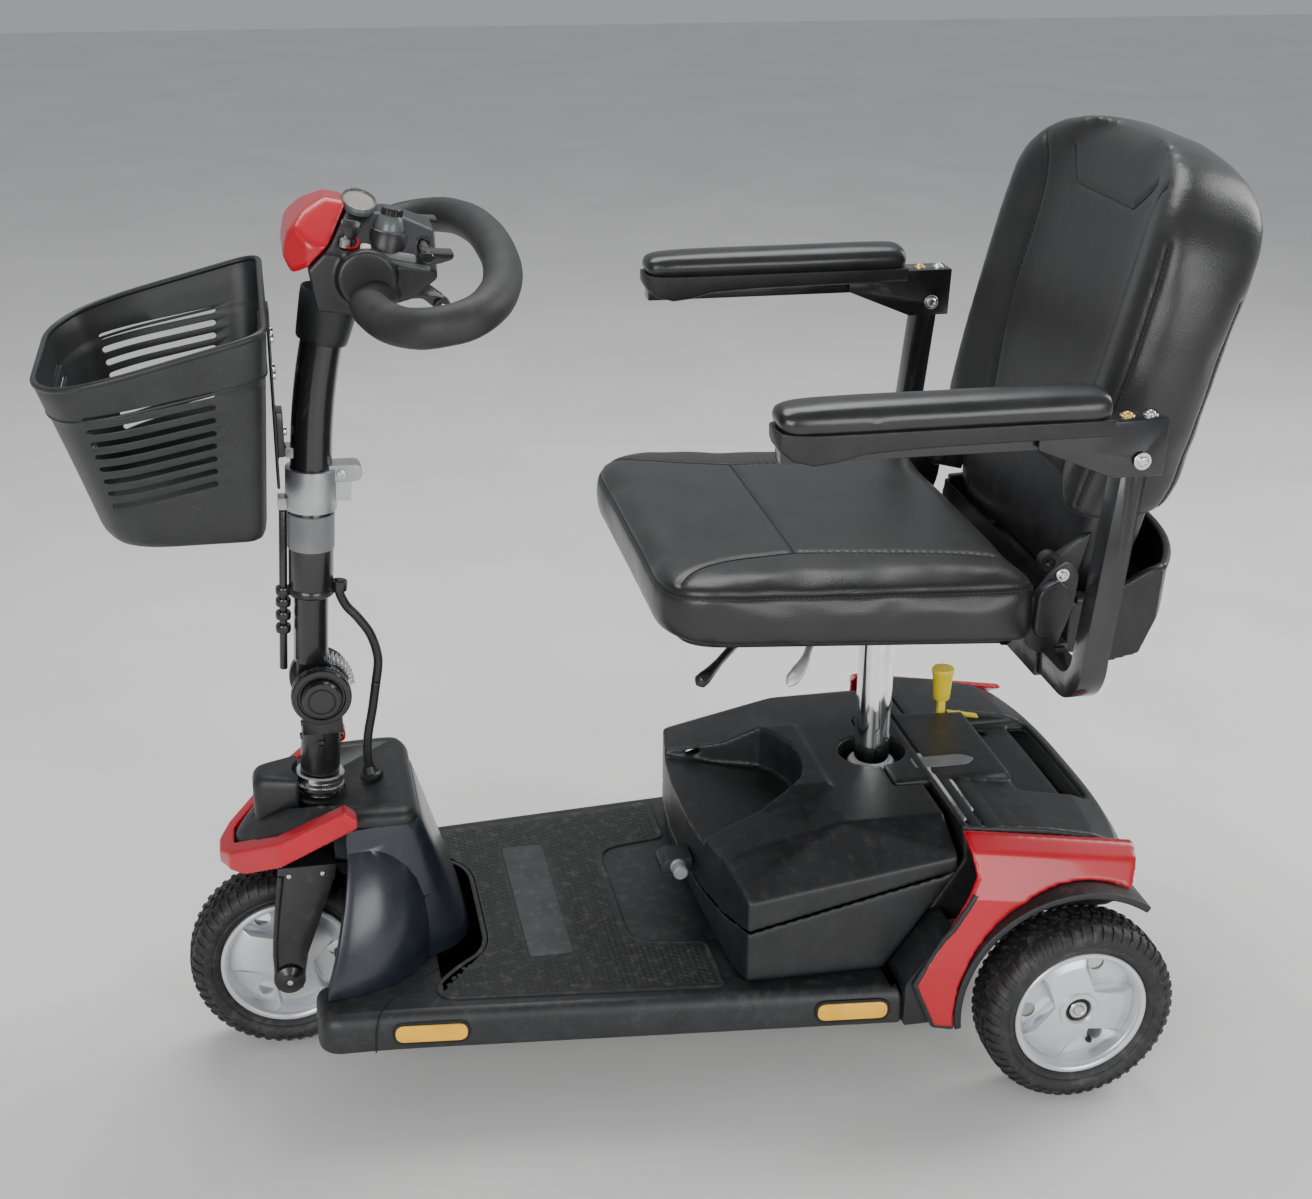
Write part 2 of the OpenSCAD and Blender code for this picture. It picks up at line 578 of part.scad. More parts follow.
panel_line = [[-112, 282], [74, 252], [62, 214], [-124, 86], [-150, 92], [-172, 142], [-105, 246]];
panel_section = [[186.4, 284], [214, 268], [236, 225], [247, 150], [250, 80], [244, 80], [241, 150],
    [230, 222], [210, 262], [186.4, 276]];
arch_r = tyre_r + 26.4;
module fender() at_rear() difference() {
    intersection() {
        side_plate(panel_line, 180, 260);
        rotate([0, 9, 0]) translate([-260, 0, -18]) rotate([90, 0, 90]) linear_extrude(440)
            polygon(panel_section);
    }
    cross_rod(0, axle_z, arch_r, 150, 300);
}
module fender_left() place() color("#b8101c") mirror([0, 1, 0]) fender();
module fender_right() place() color("#b8101c") fender();
module wheel_arches() place() color("#151617") both_sides() at_rear() difference() {
    intersection() {
        cross_rod(0, axle_z, arch_r - gap, rear_tyre_in - 20, 248);
        side_plate([[-126, 84], [-132, 150], [-90, 250], [80, 250], [82, 214], [0, axle_z]], 150, 260);
    }
    cross_rod(0, axle_z, arch_r - 8, 150, 300);
}
module post_collar() place() color("white") translate([post_x, 0, receiver_top + gap])
    tube(26, post_r + 4 * fit, 8);

/* Rear wheels */
rear_y = rear_tyre_in + rear_tyre_w / 2;
module rear_rim() {
    translate([wheelbase, rear_y, axle_z]) rim(rear_tyre_w - 12, drive_axle_r, 10);
    cross_rod(wheelbase, axle_z, drive_axle_r, 60, rear_tyre_in + rear_tyre_w - 8);
}
module rear_tyre_left() place() color("#1a1a1a") translate([wheelbase, -rear_y, axle_z]) tyre(rear_tyre_w);
module rear_tyre_right() place() color("#1a1a1a") translate([wheelbase, rear_y, axle_z]) tyre(rear_tyre_w);
module rear_rim_left() place() color("silver") mirror([0, 1, 0]) rear_rim();
module rear_rim_right() place() color("silver") rear_rim();
module freewheel_lever() place() color("gold") {
    box(lever_x - 5, lever_x + 5, lever_y - 4, lever_y + 4, 200, 296);
    translate([lever_x, lever_y, 296]) cylinder(r1 = 9, r2 = 13, h = 38);
    cross_rod(lever_x, 196, 10, lever_y - 4, lever_y + 4);
}

/* Seat, drawn about the post with its pan at seat_z */
module at_seat() translate([post_x, 0, seat_z]) children();
pan_slope = -0.062;             // the pan falls towards the rear
pan_front = -215;
pan_rear = 103;
module seat_post() place() color("gainsboro") translate([post_x, 0, 150])
    cylinder(r = post_r, h = seat_z - 154);
module seat_frame() place() color("#26282a") at_seat() difference() {
    union() {
        side_plate([[pan_front, pan_slope * pan_front], [pan_rear, pan_slope * pan_rear],
            [pan_rear, pan_slope * pan_rear - 4], [pan_front, pan_slope * pan_front - 4]], -150, 150);
        translate([0, 0, -44]) cylinder(r = post_r + 7, h = 42);
        box(94, 126, -200, 200, -39, -7);
    }
    translate([0, 0, -45]) cylinder(r = post_r + fit, h = 41.5);
    both_sides() box(110 - arm_tube / 2 - gap, 110 + arm_tube / 2 + gap, 40, 201,
        -23 - arm_tube / 2 - gap, -23 + arm_tube / 2 + gap);
}
arm_bend = 40;
module arm_supports() place() color("#1b1c1d") both_sides() at_seat() difference() {
    translate([110, 0, 0]) union() {
        box(-arm_tube / 2, arm_tube / 2, 90, arm_y - arm_bend, -23 - arm_tube / 2, -23 + arm_tube / 2);
        translate([0, arm_y - arm_bend, -23 + arm_bend]) rotate([90, 0, 90]) rotate([0, 0, -90])
            rotate_extrude(angle = 90) translate([arm_bend - arm_tube / 2, -arm_tube / 2]) square(arm_tube);
        side_plate([[-arm_tube / 2, -23 + arm_bend], [arm_tube / 2, -23 + arm_bend],
            [arm_pivot[0] - post_x - 110 + arm_tube / 2, 226],
            [arm_pivot[0] - post_x - 110 - arm_tube / 2, 226]],
            arm_y - arm_tube / 2, arm_y + arm_tube / 2);
    }
    translate([-post_x, 0, -seat_z]) cross_rod(arm_pivot[0], arm_pivot[1], 5 + fit, 200, 400);
}
cushion_x = [-283, 100];
front_corner = 60;
rear_corner = 30;
module cushion_plan() union() {
    for (sy = [-1, 1]) {
        translate([cushion_x[0] + front_corner, sy * (cushion_half_w - front_corner)])
            circle(r = front_corner);
        translate([cushion_x[1] - rear_corner, sy * (cushion_half_w - rear_corner)]) circle(r = rear_corner);
    }
    translate([cushion_x[0] + front_corner, -cushion_half_w])
        square([cushion_x[1] - cushion_x[0] - front_corner - rear_corner, 2 * cushion_half_w]);
    translate([cushion_x[0], -cushion_half_w + front_corner])
        square([100, 2 * (cushion_half_w - front_corner)]);
    translate([cushion_x[1] - 60, -cushion_half_w + rear_corner])
        square([60, 2 * (cushion_half_w - rear_corner)]);
}
function pan_top(x) = pan_slope * x + gap;
module seat_cushion() place() color("#222325") at_seat() intersection() {
    let (x0 = cushion_x[0], x1 = cushion_x[1], z0 = pan_top(x0) + cushion_t, z1 = pan_top(x1))
        side_plate([[x0 + 16, pan_top(x0 + 16)], [x1, z1], [x1, z1 + cushion_t + 8], [x0 + 30, z0],
            [x0 + 6, z0 - 12], [x0, z0 - cushion_t / 2]], -cushion_half_w, cushion_half_w);
    translate([0, 0, -60]) linear_extrude(200) cushion_plan();
}
bowl_half = 188;
module seat_shell() place() color("#1b1c1d") at_seat() difference() {
    side_plate([[132, 30], [129, 8], [129, -22], [195, -36], [245, -30], [271, 6], [276, 56],
        [268, 58], [200, 40]], -bowl_half, bowl_half);
    side_plate([[132, 60], [135, -17], [196, -31], [242, -24], [265, 8], [270, 70]],
        -bowl_half + 5, bowl_half - 5);
}
module at_back() translate([back_hinge[0], 0, back_hinge[1]]) rotate([0, recline, 0]) children();
module seat_back() place() color("#1f2022") at_back() difference() {
    union() {
        intersection() {
            union() {
                side_plate([[back_front, 48], [back_rear, 98], [back_rear, back_len - back_round],
                    [back_rear - back_round, back_len], [back_front + 40, back_len],
                    [back_front, back_len - 46]], -back_half_w, back_half_w);
                cross_rod(back_rear - back_round, back_len - back_round, back_round,
                    -back_half_w, back_half_w);
            }
            rotate([90, 0, 90]) translate([0, 0, -50]) linear_extrude(220) polygon(mirrored_x(
                [[back_half_w - 24, 40], [back_half_w, 160], [back_half_w, back_len - 110],
                [back_half_w - 14, back_len - 62], [back_half_w - 50, back_len - 28],
                [back_half_w - 96, back_len - 9], [60, back_len]]));
        }
        side_plate([[18, 95], [18, 10], [40, -30], [80, -30], [92, 20], [94, 97]], -172, 172);
        both_sides() {
            cross_rod(0, 0, 11, 160, 172);
            side_plate([[0, -11], [30, -10], [30, 40], [0, 11]], 160, 172);
        }
    }
    cross_rod(0, 0, 5 + fit, -300, 300);
}
function mirrored_x(half) = concat(half, [for (i = [len(half) - 1 : -1 : 0]) [-half[i][0], half[i][1]]]);

/* Armrests */
bar_front = arm_pivot[0] - 30 - pad_len;
module arm_bracket() translate([arm_pivot[0], 0, arm_pivot[1]]) {
    difference() {
        side_plate([[22, -16], [24, 36], [-96, 36], [-96, 14], [-24, -16]],
            arm_y - arm_tube / 2 - 4, arm_y + arm_tube / 2 + 4);
        side_plate([[40, -30], [40, 33], [-110, 33], [-110, -30]],
            arm_y - arm_tube / 2 - 1, arm_y + arm_tube / 2 + 1);
    }
    cross_rod(0, 0, 5, arm_y - arm_tube / 2 - 8, arm_y + arm_tube / 2 + 8);
    box(-pad_len - 24, -28, arm_y - 10, arm_y + 10, 12, 32);
}
module arm_pad() translate([0, 0, arm_pivot[1] + 36 + gap]) intersection() {
    side_plate([[bar_front, 8], [bar_front + 6, 0], [bar_front + pad_len, 0], [bar_front + pad_len, 26],
        [bar_front + pad_len - 6, 30], [bar_front + 90, 28], [bar_front + 24, 24],
        [bar_front + 4, 16]], arm_y - pad_w / 2, arm_y + pad_w / 2);
    linear_extrude(40) union() {
        translate([bar_front + pad_w / 2, arm_y]) circle(r = pad_w / 2);
        translate([bar_front + pad_w / 2, arm_y - pad_w / 2]) square([pad_len - pad_w / 2, pad_w]);
    }
}
module arm_bracket_left() place() color("#1a1b1c") mirror([0, 1, 0]) arm_bracket();
module arm_bracket_right() place() color("#1a1b1c") arm_bracket();
module arm_pad_left() place() color("#232425") mirror([0, 1, 0]) arm_pad();
module arm_pad_right() place() color("#232425") arm_pad();

/* Seat levers, under the front left of the cushion */
module lever_rod(p, q, r) hull() for (end = [p, q]) translate(end) sphere(r = r, $fn = 16);
module swivel_lever() place() color("#141414") at_seat() {
    lever_rod([-170, -110, -10], [-232, -205, -8], 4);
    lever_rod([-232, -205, -8], [-244, -216, -10], 7);
}
module slide_lever() place() color("#d8d8d4") at_seat() {
    lever_rod([-100, -110, -12], [-140, -200, -9], 4);
    lever_rod([-140, -200, -9], [-160, -228, -14], 7);
}

main_frame();
deck_shell();
deck_mat();
side_reflectors();
shroud_lower();
shroud_upper();
shroud_trim();
head_bearings();
rear_frame();
drive_unit();
rear_cover();
fender_left();
fender_right();
wheel_arches();
battery_box();
battery_lid();
battery_cells();
frame_latch();
post_collar();
cable_lower();
fork();
steer_collar();
tiller_knuckle();
front_axle();
front_tyre();
front_rim();
front_bearings();
pivot_disc();
tiller_column();
tiller_clamp();
upper_tube();
lock_rod();
head_boot();
console_shell();
console_cover();
handlebar();
basket();
basket_bracket();
cable_upper();
throttle_lever();
speed_knob();
key();
horn_button();
rear_tyre_left();
rear_tyre_right();
rear_rim_left();
rear_rim_right();
seat_post();
seat_frame();
arm_supports();
seat_cushion();
seat_shell();
seat_back();
arm_bracket_left();
arm_pad_left();
arm_bracket_right();
arm_pad_right();
swivel_lever();
slide_lever();
freewheel_lever();
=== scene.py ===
"""Looks of a seated three-wheel travel scooter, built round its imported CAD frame."""

import json
import math

import bmesh
import bpy
from mathutils import Matrix, Vector
from mathutils.bvhtree import BVHTree
from mathutils.kdtree import KDTree


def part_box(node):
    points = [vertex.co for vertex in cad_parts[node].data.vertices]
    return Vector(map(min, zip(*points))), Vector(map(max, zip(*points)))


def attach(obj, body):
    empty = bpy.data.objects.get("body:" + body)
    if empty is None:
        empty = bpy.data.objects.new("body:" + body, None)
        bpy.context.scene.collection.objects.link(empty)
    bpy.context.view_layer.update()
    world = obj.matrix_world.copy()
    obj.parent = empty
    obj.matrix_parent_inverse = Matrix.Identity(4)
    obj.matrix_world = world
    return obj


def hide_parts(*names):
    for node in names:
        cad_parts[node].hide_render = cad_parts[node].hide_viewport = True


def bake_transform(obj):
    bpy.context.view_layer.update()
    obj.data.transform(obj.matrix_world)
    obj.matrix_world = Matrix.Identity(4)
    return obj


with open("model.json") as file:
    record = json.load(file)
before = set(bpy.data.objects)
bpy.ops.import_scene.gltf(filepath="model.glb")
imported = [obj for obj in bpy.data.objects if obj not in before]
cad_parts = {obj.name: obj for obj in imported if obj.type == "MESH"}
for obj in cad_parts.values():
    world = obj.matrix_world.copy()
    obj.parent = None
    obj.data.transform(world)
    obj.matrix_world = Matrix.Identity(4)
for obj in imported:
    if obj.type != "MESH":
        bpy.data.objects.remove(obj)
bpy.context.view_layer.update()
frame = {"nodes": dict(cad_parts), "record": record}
body_of = {node: body for body, nodes in frame["record"]["behaviour"]["bodies"].items() for node in nodes}

# Stations: millimetres back from the front axle, across, and up from the floor
tyre_low, tyre_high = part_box("front_tyre")
axle_x = (tyre_low.x + tyre_high.x) / 2
axle_z = (tyre_low.z + tyre_high.z) * 500
post_x = ((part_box("seat_post")[0].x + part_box("seat_post")[1].x) / 2 - axle_x) * 1000
rear_x = ((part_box("rear_tyre_left")[0].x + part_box("rear_tyre_left")[1].x) / 2 - axle_x) * 1000
seat_z = 491
hinge_x, hinge_z = post_x + 113, seat_z + 66
recline = math.radians(14)
head_z = 800


def at(x, y, z):
    """A place on the scooter, from its stations in millimetres."""
    return Vector((axle_x + x / 1000, y / 1000, z / 1000))


# ------------------------------------------------------------------ mesh making
def piece(name, points, faces):
    """A new piece from points in metres and faces."""
    mesh = bpy.data.meshes.new(name)
    mesh.from_pydata([tuple(p) for p in points], [], faces)
    cleaned(mesh)
    thing = bpy.data.objects.new(name, mesh)
    bpy.context.scene.collection.objects.link(thing)
    return thing


def cleaned(mesh, merge=1e-6, flat=None):
    """Joins doubled points and turns every face outwards; flat also joins faces within that angle."""
    work = bmesh.new()
    work.from_mesh(mesh)
    bmesh.ops.remove_doubles(work, verts=work.verts, dist=merge)
    bmesh.ops.dissolve_degenerate(work, edges=work.edges, dist=merge)
    if flat:
        bmesh.ops.dissolve_limit(work, angle_limit=math.radians(flat), verts=work.verts, edges=work.edges)
    bmesh.ops.recalc_face_normals(work, faces=work.faces)
    work.to_mesh(mesh)
    work.free()


def settled(thing):
    """Applies the modifiers of a piece to its mesh."""
    bpy.context.view_layer.update()
    made = bpy.data.meshes.new_from_object(thing.evaluated_get(bpy.context.evaluated_depsgraph_get()))
    old = thing.data
    thing.modifiers.clear()
    thing.data = made
    if old.users == 0:
        bpy.data.meshes.remove(old)
    return thing


def loft(name, rings, looped=False):
    """A skin over rings of points, with flat ends unless it closes on itself."""
    n, count = len(rings[0]), len(rings)
    faces = []
    for i in range(count if looped else count - 1):
        a, b = i * n, ((i + 1) % count) * n
        faces += [(a + k, a + (k + 1) % n, b + (k + 1) % n, b + k) for k in range(n)]
    if not looped:
        faces += [tuple(range(n))[::-1], tuple((count - 1) * n + k for k in range(n))]
    return piece(name, [p for ring in rings for p in ring], faces)


def curve_through(points, steps=6, looped=False):
    """Catmull-Rom points through the given ones."""
    made, n = [], len(points)
    for i in range(n if looped else n - 1):
        a, b, c, d = (points[(i + k) % n] if looped else points[min(max(i + k, 0), n - 1)]
                      for k in (-1, 0, 1, 2))
        for s in range(steps):
            t = s / steps
            made.append(type(b)((2 * q + (r - p) * t + (2 * p - 5 * q + 4 * r - w) * t * t
                                 + (3 * q - p - 3 * r + w) * t ** 3) / 2 for p, q, r, w in zip(a, b, c, d)))
    if not looped:
        made.append(points[-1])
    return made


def tube(name, path, radius, sides=16, looped=False):
    """A round tube along points in metres; radius, in mm, may be a function of the share of the way."""
    rings, n = [], len(path)
    side = None
    for i, point in enumerate(path):
        ahead = path[(i + 1) % n] if looped else path[min(i + 1, n - 1)]
        behind = path[i - 1] if looped else path[max(i - 1, 0)]
        way = (ahead - behind).normalized()
        if side is None:
            side = way.orthogonal().normalized()
        side = (side - way * side.dot(way)).normalized()
        across = way.cross(side)
        r = (radius(i / (n - 1)) if callable(radius) else radius) / 1000
        rings.append([point + r * (math.cos(a) * side + math.sin(a) * across)
                      for a in (math.tau * k / sides for k in range(sides))])
    return loft(name, rings, looped)


def turned(name, outline, centre, axis, steps=48):
    """An outline of radius and height, in millimetres, turned about an axis through centre."""
    axis = Vector(axis).normalized()
    out = axis.orthogonal().normalized()
    over = axis.cross(out)
    rings = [[centre + (r / 1000) * (math.cos(a) * out + math.sin(a) * over) + (h / 1000) * axis
              for r, h in outline]
             for a in (math.tau * k / steps for k in range(steps))]
    return loft(name, rings, True)


def filleted(points, radius, steps=5):
    """Rounds the corners of a closed outline; radius may be a list, one for each corner."""
    made, n = [], len(points)
    for i, p in enumerate(points):
        r = radius[i] if isinstance(radius, (list, tuple)) else radius
        p, before, after = Vector(p), Vector(points[i - 1]), Vector(points[(i + 1) % n])
        if r <= 0:
            made.append(tuple(p))
            continue
        a = p + (before - p).normalized() * min(r, (before - p).length * 0.49)
        b = p + (after - p).normalized() * min(r, (after - p).length * 0.49)
        for s in range(steps + 1):
            t = s / steps
            made.append(tuple((1 - t) ** 2 * a + 2 * t * (1 - t) * p + t * t * b))
    return made


def even(points, gap, looped=False):
    """Evenly spaced points, gap millimetres apart, along a line of points in metres."""
    line = list(points) + ([points[0]] if looped else [])
    made, left = [line[0]], gap / 1000
    for p, q in zip(line, line[1:]):
        length, gone = (q - p).length, 0.0
        while length - gone >= left:
            gone += left
            made.append(p.lerp(q, gone / length))
            left = gap / 1000
        left -= length - gone
    return made[:-1] if looped and (made[-1] - line[0]).length < gap / 2000 else made


def inset(outline, by):
    """Moves a closed outline inwards, whichever way round it runs."""
    n = len(outline)
    area = sum(outline[i - 1][0] * outline[i][1] - outline[i][0] * outline[i - 1][1] for i in range(n))
    turn = 1 if area > 0 else -1
    made = []
    for i, p in enumerate(outline):
        way = Vector(outline[(i + 1) % n]) - Vector(outline[i - 1])
        if way.length < 1e-9:
            made.append(p)
            continue
        inward = Vector((-way.y, way.x)).normalized() * turn
        made.append((p[0] + inward.x * by, p[1] + inward.y * by))
    return made


def both_halves(half):
    """Closes a half outline of along and across with its mirror image."""
    return list(half) + [(a, -b) for a, b in reversed(half)]


def softened(thing, width, steps=3, angle=30):
    """Rounds the edges sharper than an angle; the width is in millimetres."""
    edge = thing.modifiers.new("edge", "BEVEL")
    edge.width, edge.segments, edge.limit_method = width / 1000, steps, "ANGLE"
    edge.angle_limit = math.radians(angle)
    return settled(thing)


def slab(name, outline, y0, y1, rounding=0, steps=3):
    """A side outline of along and up, between two stations across."""
    thing = loft(name, [[at(x, y, z) for x, z in outline] for y in (y0, y1)])
    return softened(thing, rounding, steps) if rounding else thing


def sheet_metal(name, outline, z0, z1, rounding=0, steps=3):
    """A plan outline of along and across, between two heights."""
    thing = loft(name, [[at(x, y, z) for x, y in outline] for z in (z0, z1)])
    return softened(thing, rounding, steps) if rounding else thing


def carved(thing, cutter, how="DIFFERENCE"):
    """Cuts a piece with another, or joins the two, and removes the cutter."""
    knife = thing.modifiers.new("carve", "BOOLEAN")
    knife.operation, knife.solver, knife.object = how, "EXACT", cutter
    settled(thing)
    bpy.data.objects.remove(cutter)
    return thing


def joined(name, *things):
    """Makes several pieces one."""
    work = bmesh.new()
    for thing in things:
        work.from_mesh(thing.data)
    mesh = bpy.data.meshes.new(name)
    work.to_mesh(mesh)
    work.free()
    for thing in things:
        bpy.data.objects.remove(thing)
    made = bpy.data.objects.new(name, mesh)
    bpy.context.scene.collection.objects.link(made)
    return made


def moved(thing, matrix):
    """Moves a piece's mesh and leaves its object where it is."""
    thing.data.transform(matrix)
    return thing


def put(thing, finish, body, *nodes, sharp=34):
    """Gives a piece its finish and its body, and hides the CAD nodes it stands for."""
    thing.data.materials.clear()
    thing.data.materials.append(finish)
    thing.data.shade_smooth()
    thing.data.set_sharp_from_angle(angle=math.radians(sharp))
    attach(thing, body)
    if nodes:
        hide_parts(*nodes)
    return thing


def polished(node, finish, rounding=1.0, steps=2, flat=0.6, sharp=34):
    """The CAD node's own shape with its edges broken."""
    mesh = frame["nodes"][node].data.copy()
    thing = bpy.data.objects.new(node + "_finished", mesh)
    bpy.context.scene.collection.objects.link(thing)
    cleaned(mesh, 2e-5, flat)
    if rounding:
        softened(thing, rounding, steps, 28)
    return put(thing, finish, body_of[node], node, sharp=sharp)


def moulded(node, finish, cell=2.5, rounds=8, warp=None, sharp=60):
    """The CAD node's shape as a moulding: every edge rolled over by the same amount."""
    thing = bpy.data.objects.new(node + "_moulded", frame["nodes"][node].data.copy())
    bpy.context.scene.collection.objects.link(thing)
    cleaned(thing.data, 2e-5)
    skin = thing.modifiers.new("skin", "REMESH")
    skin.mode, skin.voxel_size = "VOXEL", cell / 1000
    roll = thing.modifiers.new("roll", "SMOOTH")
    roll.factor, roll.iterations = 0.5, rounds
    settled(thing)
    if warp:
        for vertex in thing.data.vertices:
            vertex.co = warp(vertex.co)
    return put(thing, finish, body_of[node], node, sharp=sharp)


def laid_on(thing, points, steps=10, looped=False, smooth=0):
    """Drops a line of points onto a piece's surface."""
    work = bmesh.new()
    work.from_mesh(thing.data)
    tree = BVHTree.FromBMesh(work)
    work.free()
    line = [tree.find_nearest(p)[0] for p in curve_through(points, steps, looped)]
    for _ in range(smooth):
        ends = line[0], line[-1]
        line = [tree.find_nearest((line[i - 1] + 2 * p + line[(i + 1) % len(line)]) / 4)[0]
                for i, p in enumerate(line)]
        if not looped:
            line[0], line[-1] = ends
    return [(p, tree.find_nearest(p)[1]) for p in line]


# ------------------------------------------------------------------ things that repeat
def socket(tree, name, kind, default=None):
    """Adds a named input to a tree."""
    made = tree.interface.new_socket(name=name, in_out="INPUT", socket_type=kind)
    if default is not None:
        made.default_value = default
    return made


def chain(tree, *links):
    """Links pairs of sockets."""
    for a, b in links:
        tree.links.new(a, b)


def ring_tree():
    """Copies of a shape round an axis: the shape stands at its real radius on local X, and turns about Z."""
    tree = bpy.data.node_groups.new("Ring of copies", "GeometryNodeTree")
    tree.interface.new_socket(name="Geometry", in_out="OUTPUT", socket_type="NodeSocketGeometry")
    socket(tree, "Geometry", "NodeSocketGeometry")
    socket(tree, "Shape", "NodeSocketObject")
    socket(tree, "Count", "NodeSocketInt", 12)
    socket(tree, "Step", "NodeSocketFloat", 0.1)
    socket(tree, "Start", "NodeSocketFloat", 0.0)
    socket(tree, "Centre", "NodeSocketVector")
    socket(tree, "Turn", "NodeSocketVector")
    socket(tree, "Finish", "NodeSocketMaterial")
    given, out = tree.nodes.new("NodeGroupInput"), tree.nodes.new("NodeGroupOutput")
    line = tree.nodes.new("GeometryNodeMeshLine")
    line.inputs["Offset"].default_value = (0, 0, 0)
    shape = tree.nodes.new("GeometryNodeObjectInfo")
    index = tree.nodes.new("GeometryNodeInputIndex")
    angle = tree.nodes.new("ShaderNodeMath")
    angle.operation = "MULTIPLY_ADD"
    turn = tree.nodes.new("ShaderNodeCombineXYZ")
    copies = tree.nodes.new("GeometryNodeInstanceOnPoints")
    real = tree.nodes.new("GeometryNodeRealizeInstances")
    place = tree.nodes.new("GeometryNodeTransform")
    paint = tree.nodes.new("GeometryNodeSetMaterial")
    chain(tree, (given.outputs["Count"], line.inputs["Count"]),
          (given.outputs["Shape"], shape.inputs["Object"]),
          (index.outputs[0], angle.inputs[0]), (given.outputs["Step"], angle.inputs[1]),
          (given.outputs["Start"], angle.inputs[2]), (angle.outputs[0], turn.inputs["Z"]),
          (line.outputs[0], copies.inputs["Points"]),
          (shape.outputs["Geometry"], copies.inputs["Instance"]),
          (turn.outputs[0], copies.inputs["Rotation"]), (copies.outputs[0], real.inputs[0]),
          (real.outputs[0], place.inputs["Geometry"]),
          (given.outputs["Centre"], place.inputs["Translation"]),
          (given.outputs["Turn"], place.inputs["Rotation"]), (place.outputs[0], paint.inputs["Geometry"]),
          (given.outputs["Finish"], paint.inputs["Material"]), (paint.outputs[0], out.inputs[0]))
    return tree


def scatter_tree():
    """A copy of a shape at each point, turned and sized by the point's own turn and size."""
    tree = bpy.data.node_groups.new("Copies on points", "GeometryNodeTree")
    tree.interface.new_socket(name="Geometry", in_out="OUTPUT", socket_type="NodeSocketGeometry")
    socket(tree, "Geometry", "NodeSocketGeometry")
    socket(tree, "Shape", "NodeSocketObject")
    socket(tree, "Size", "NodeSocketFloat", 1.0)
    socket(tree, "Finish", "NodeSocketMaterial")
    given, out = tree.nodes.new("NodeGroupInput"), tree.nodes.new("NodeGroupOutput")
    shape = tree.nodes.new("GeometryNodeObjectInfo")
    turn = tree.nodes.new("GeometryNodeInputNamedAttribute")
    turn.data_type = "FLOAT_VECTOR"
    turn.inputs["Name"].default_value = "turn"
    copies = tree.nodes.new("GeometryNodeInstanceOnPoints")
    real = tree.nodes.new("GeometryNodeRealizeInstances")
    paint = tree.nodes.new("GeometryNodeSetMaterial")
    chain(tree, (given.outputs["Geometry"], copies.inputs["Points"]),
          (given.outputs["Shape"], shape.inputs["Object"]),
          (shape.outputs["Geometry"], copies.inputs["Instance"]),
          (turn.outputs["Attribute"], copies.inputs["Rotation"]),
          (given.outputs["Size"], copies.inputs["Scale"]), (copies.outputs[0], real.inputs[0]),
          (real.outputs[0], paint.inputs["Geometry"]), (given.outputs["Finish"], paint.inputs["Material"]),
          (paint.outputs[0], out.inputs[0]))
    return tree


RING, SCATTER = ring_tree(), scatter_tree()


def grown(name, tree, body, finish, points=(), turns=(), **sizes):
    """Runs one of the trees on a set of points and keeps the mesh that it makes."""
    mesh = bpy.data.meshes.new(name)
    mesh.from_pydata([tuple(p) for p in points] or [(0, 0, 0)], [], [])
    if turns:
        mesh.attributes.new("turn", "FLOAT_VECTOR", "POINT").data.foreach_set("vector",
            [c for t in turns for c in t])
    thing = bpy.data.objects.new(name, mesh)
    bpy.context.scene.collection.objects.link(thing)
    grow = thing.modifiers.new("grow", "NODES")
    grow.node_group = tree
    sizes["Finish"] = finish
    for item in tree.interface.items_tree:
        if item.in_out == "INPUT" and item.name in sizes:
            grow[item.identifier] = sizes[item.name]
    settled(thing)
    thing.data.shade_smooth()
    thing.data.set_sharp_from_angle(angle=math.radians(34))
    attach(thing, body)
    return thing


def facing(way):
    """The turn that points local Z along a direction."""
    return tuple(way.to_track_quat("Z", "Y" if abs(way.normalized().dot(Vector((0, 1, 0)))) < 0.95
                                   else "X").to_euler())


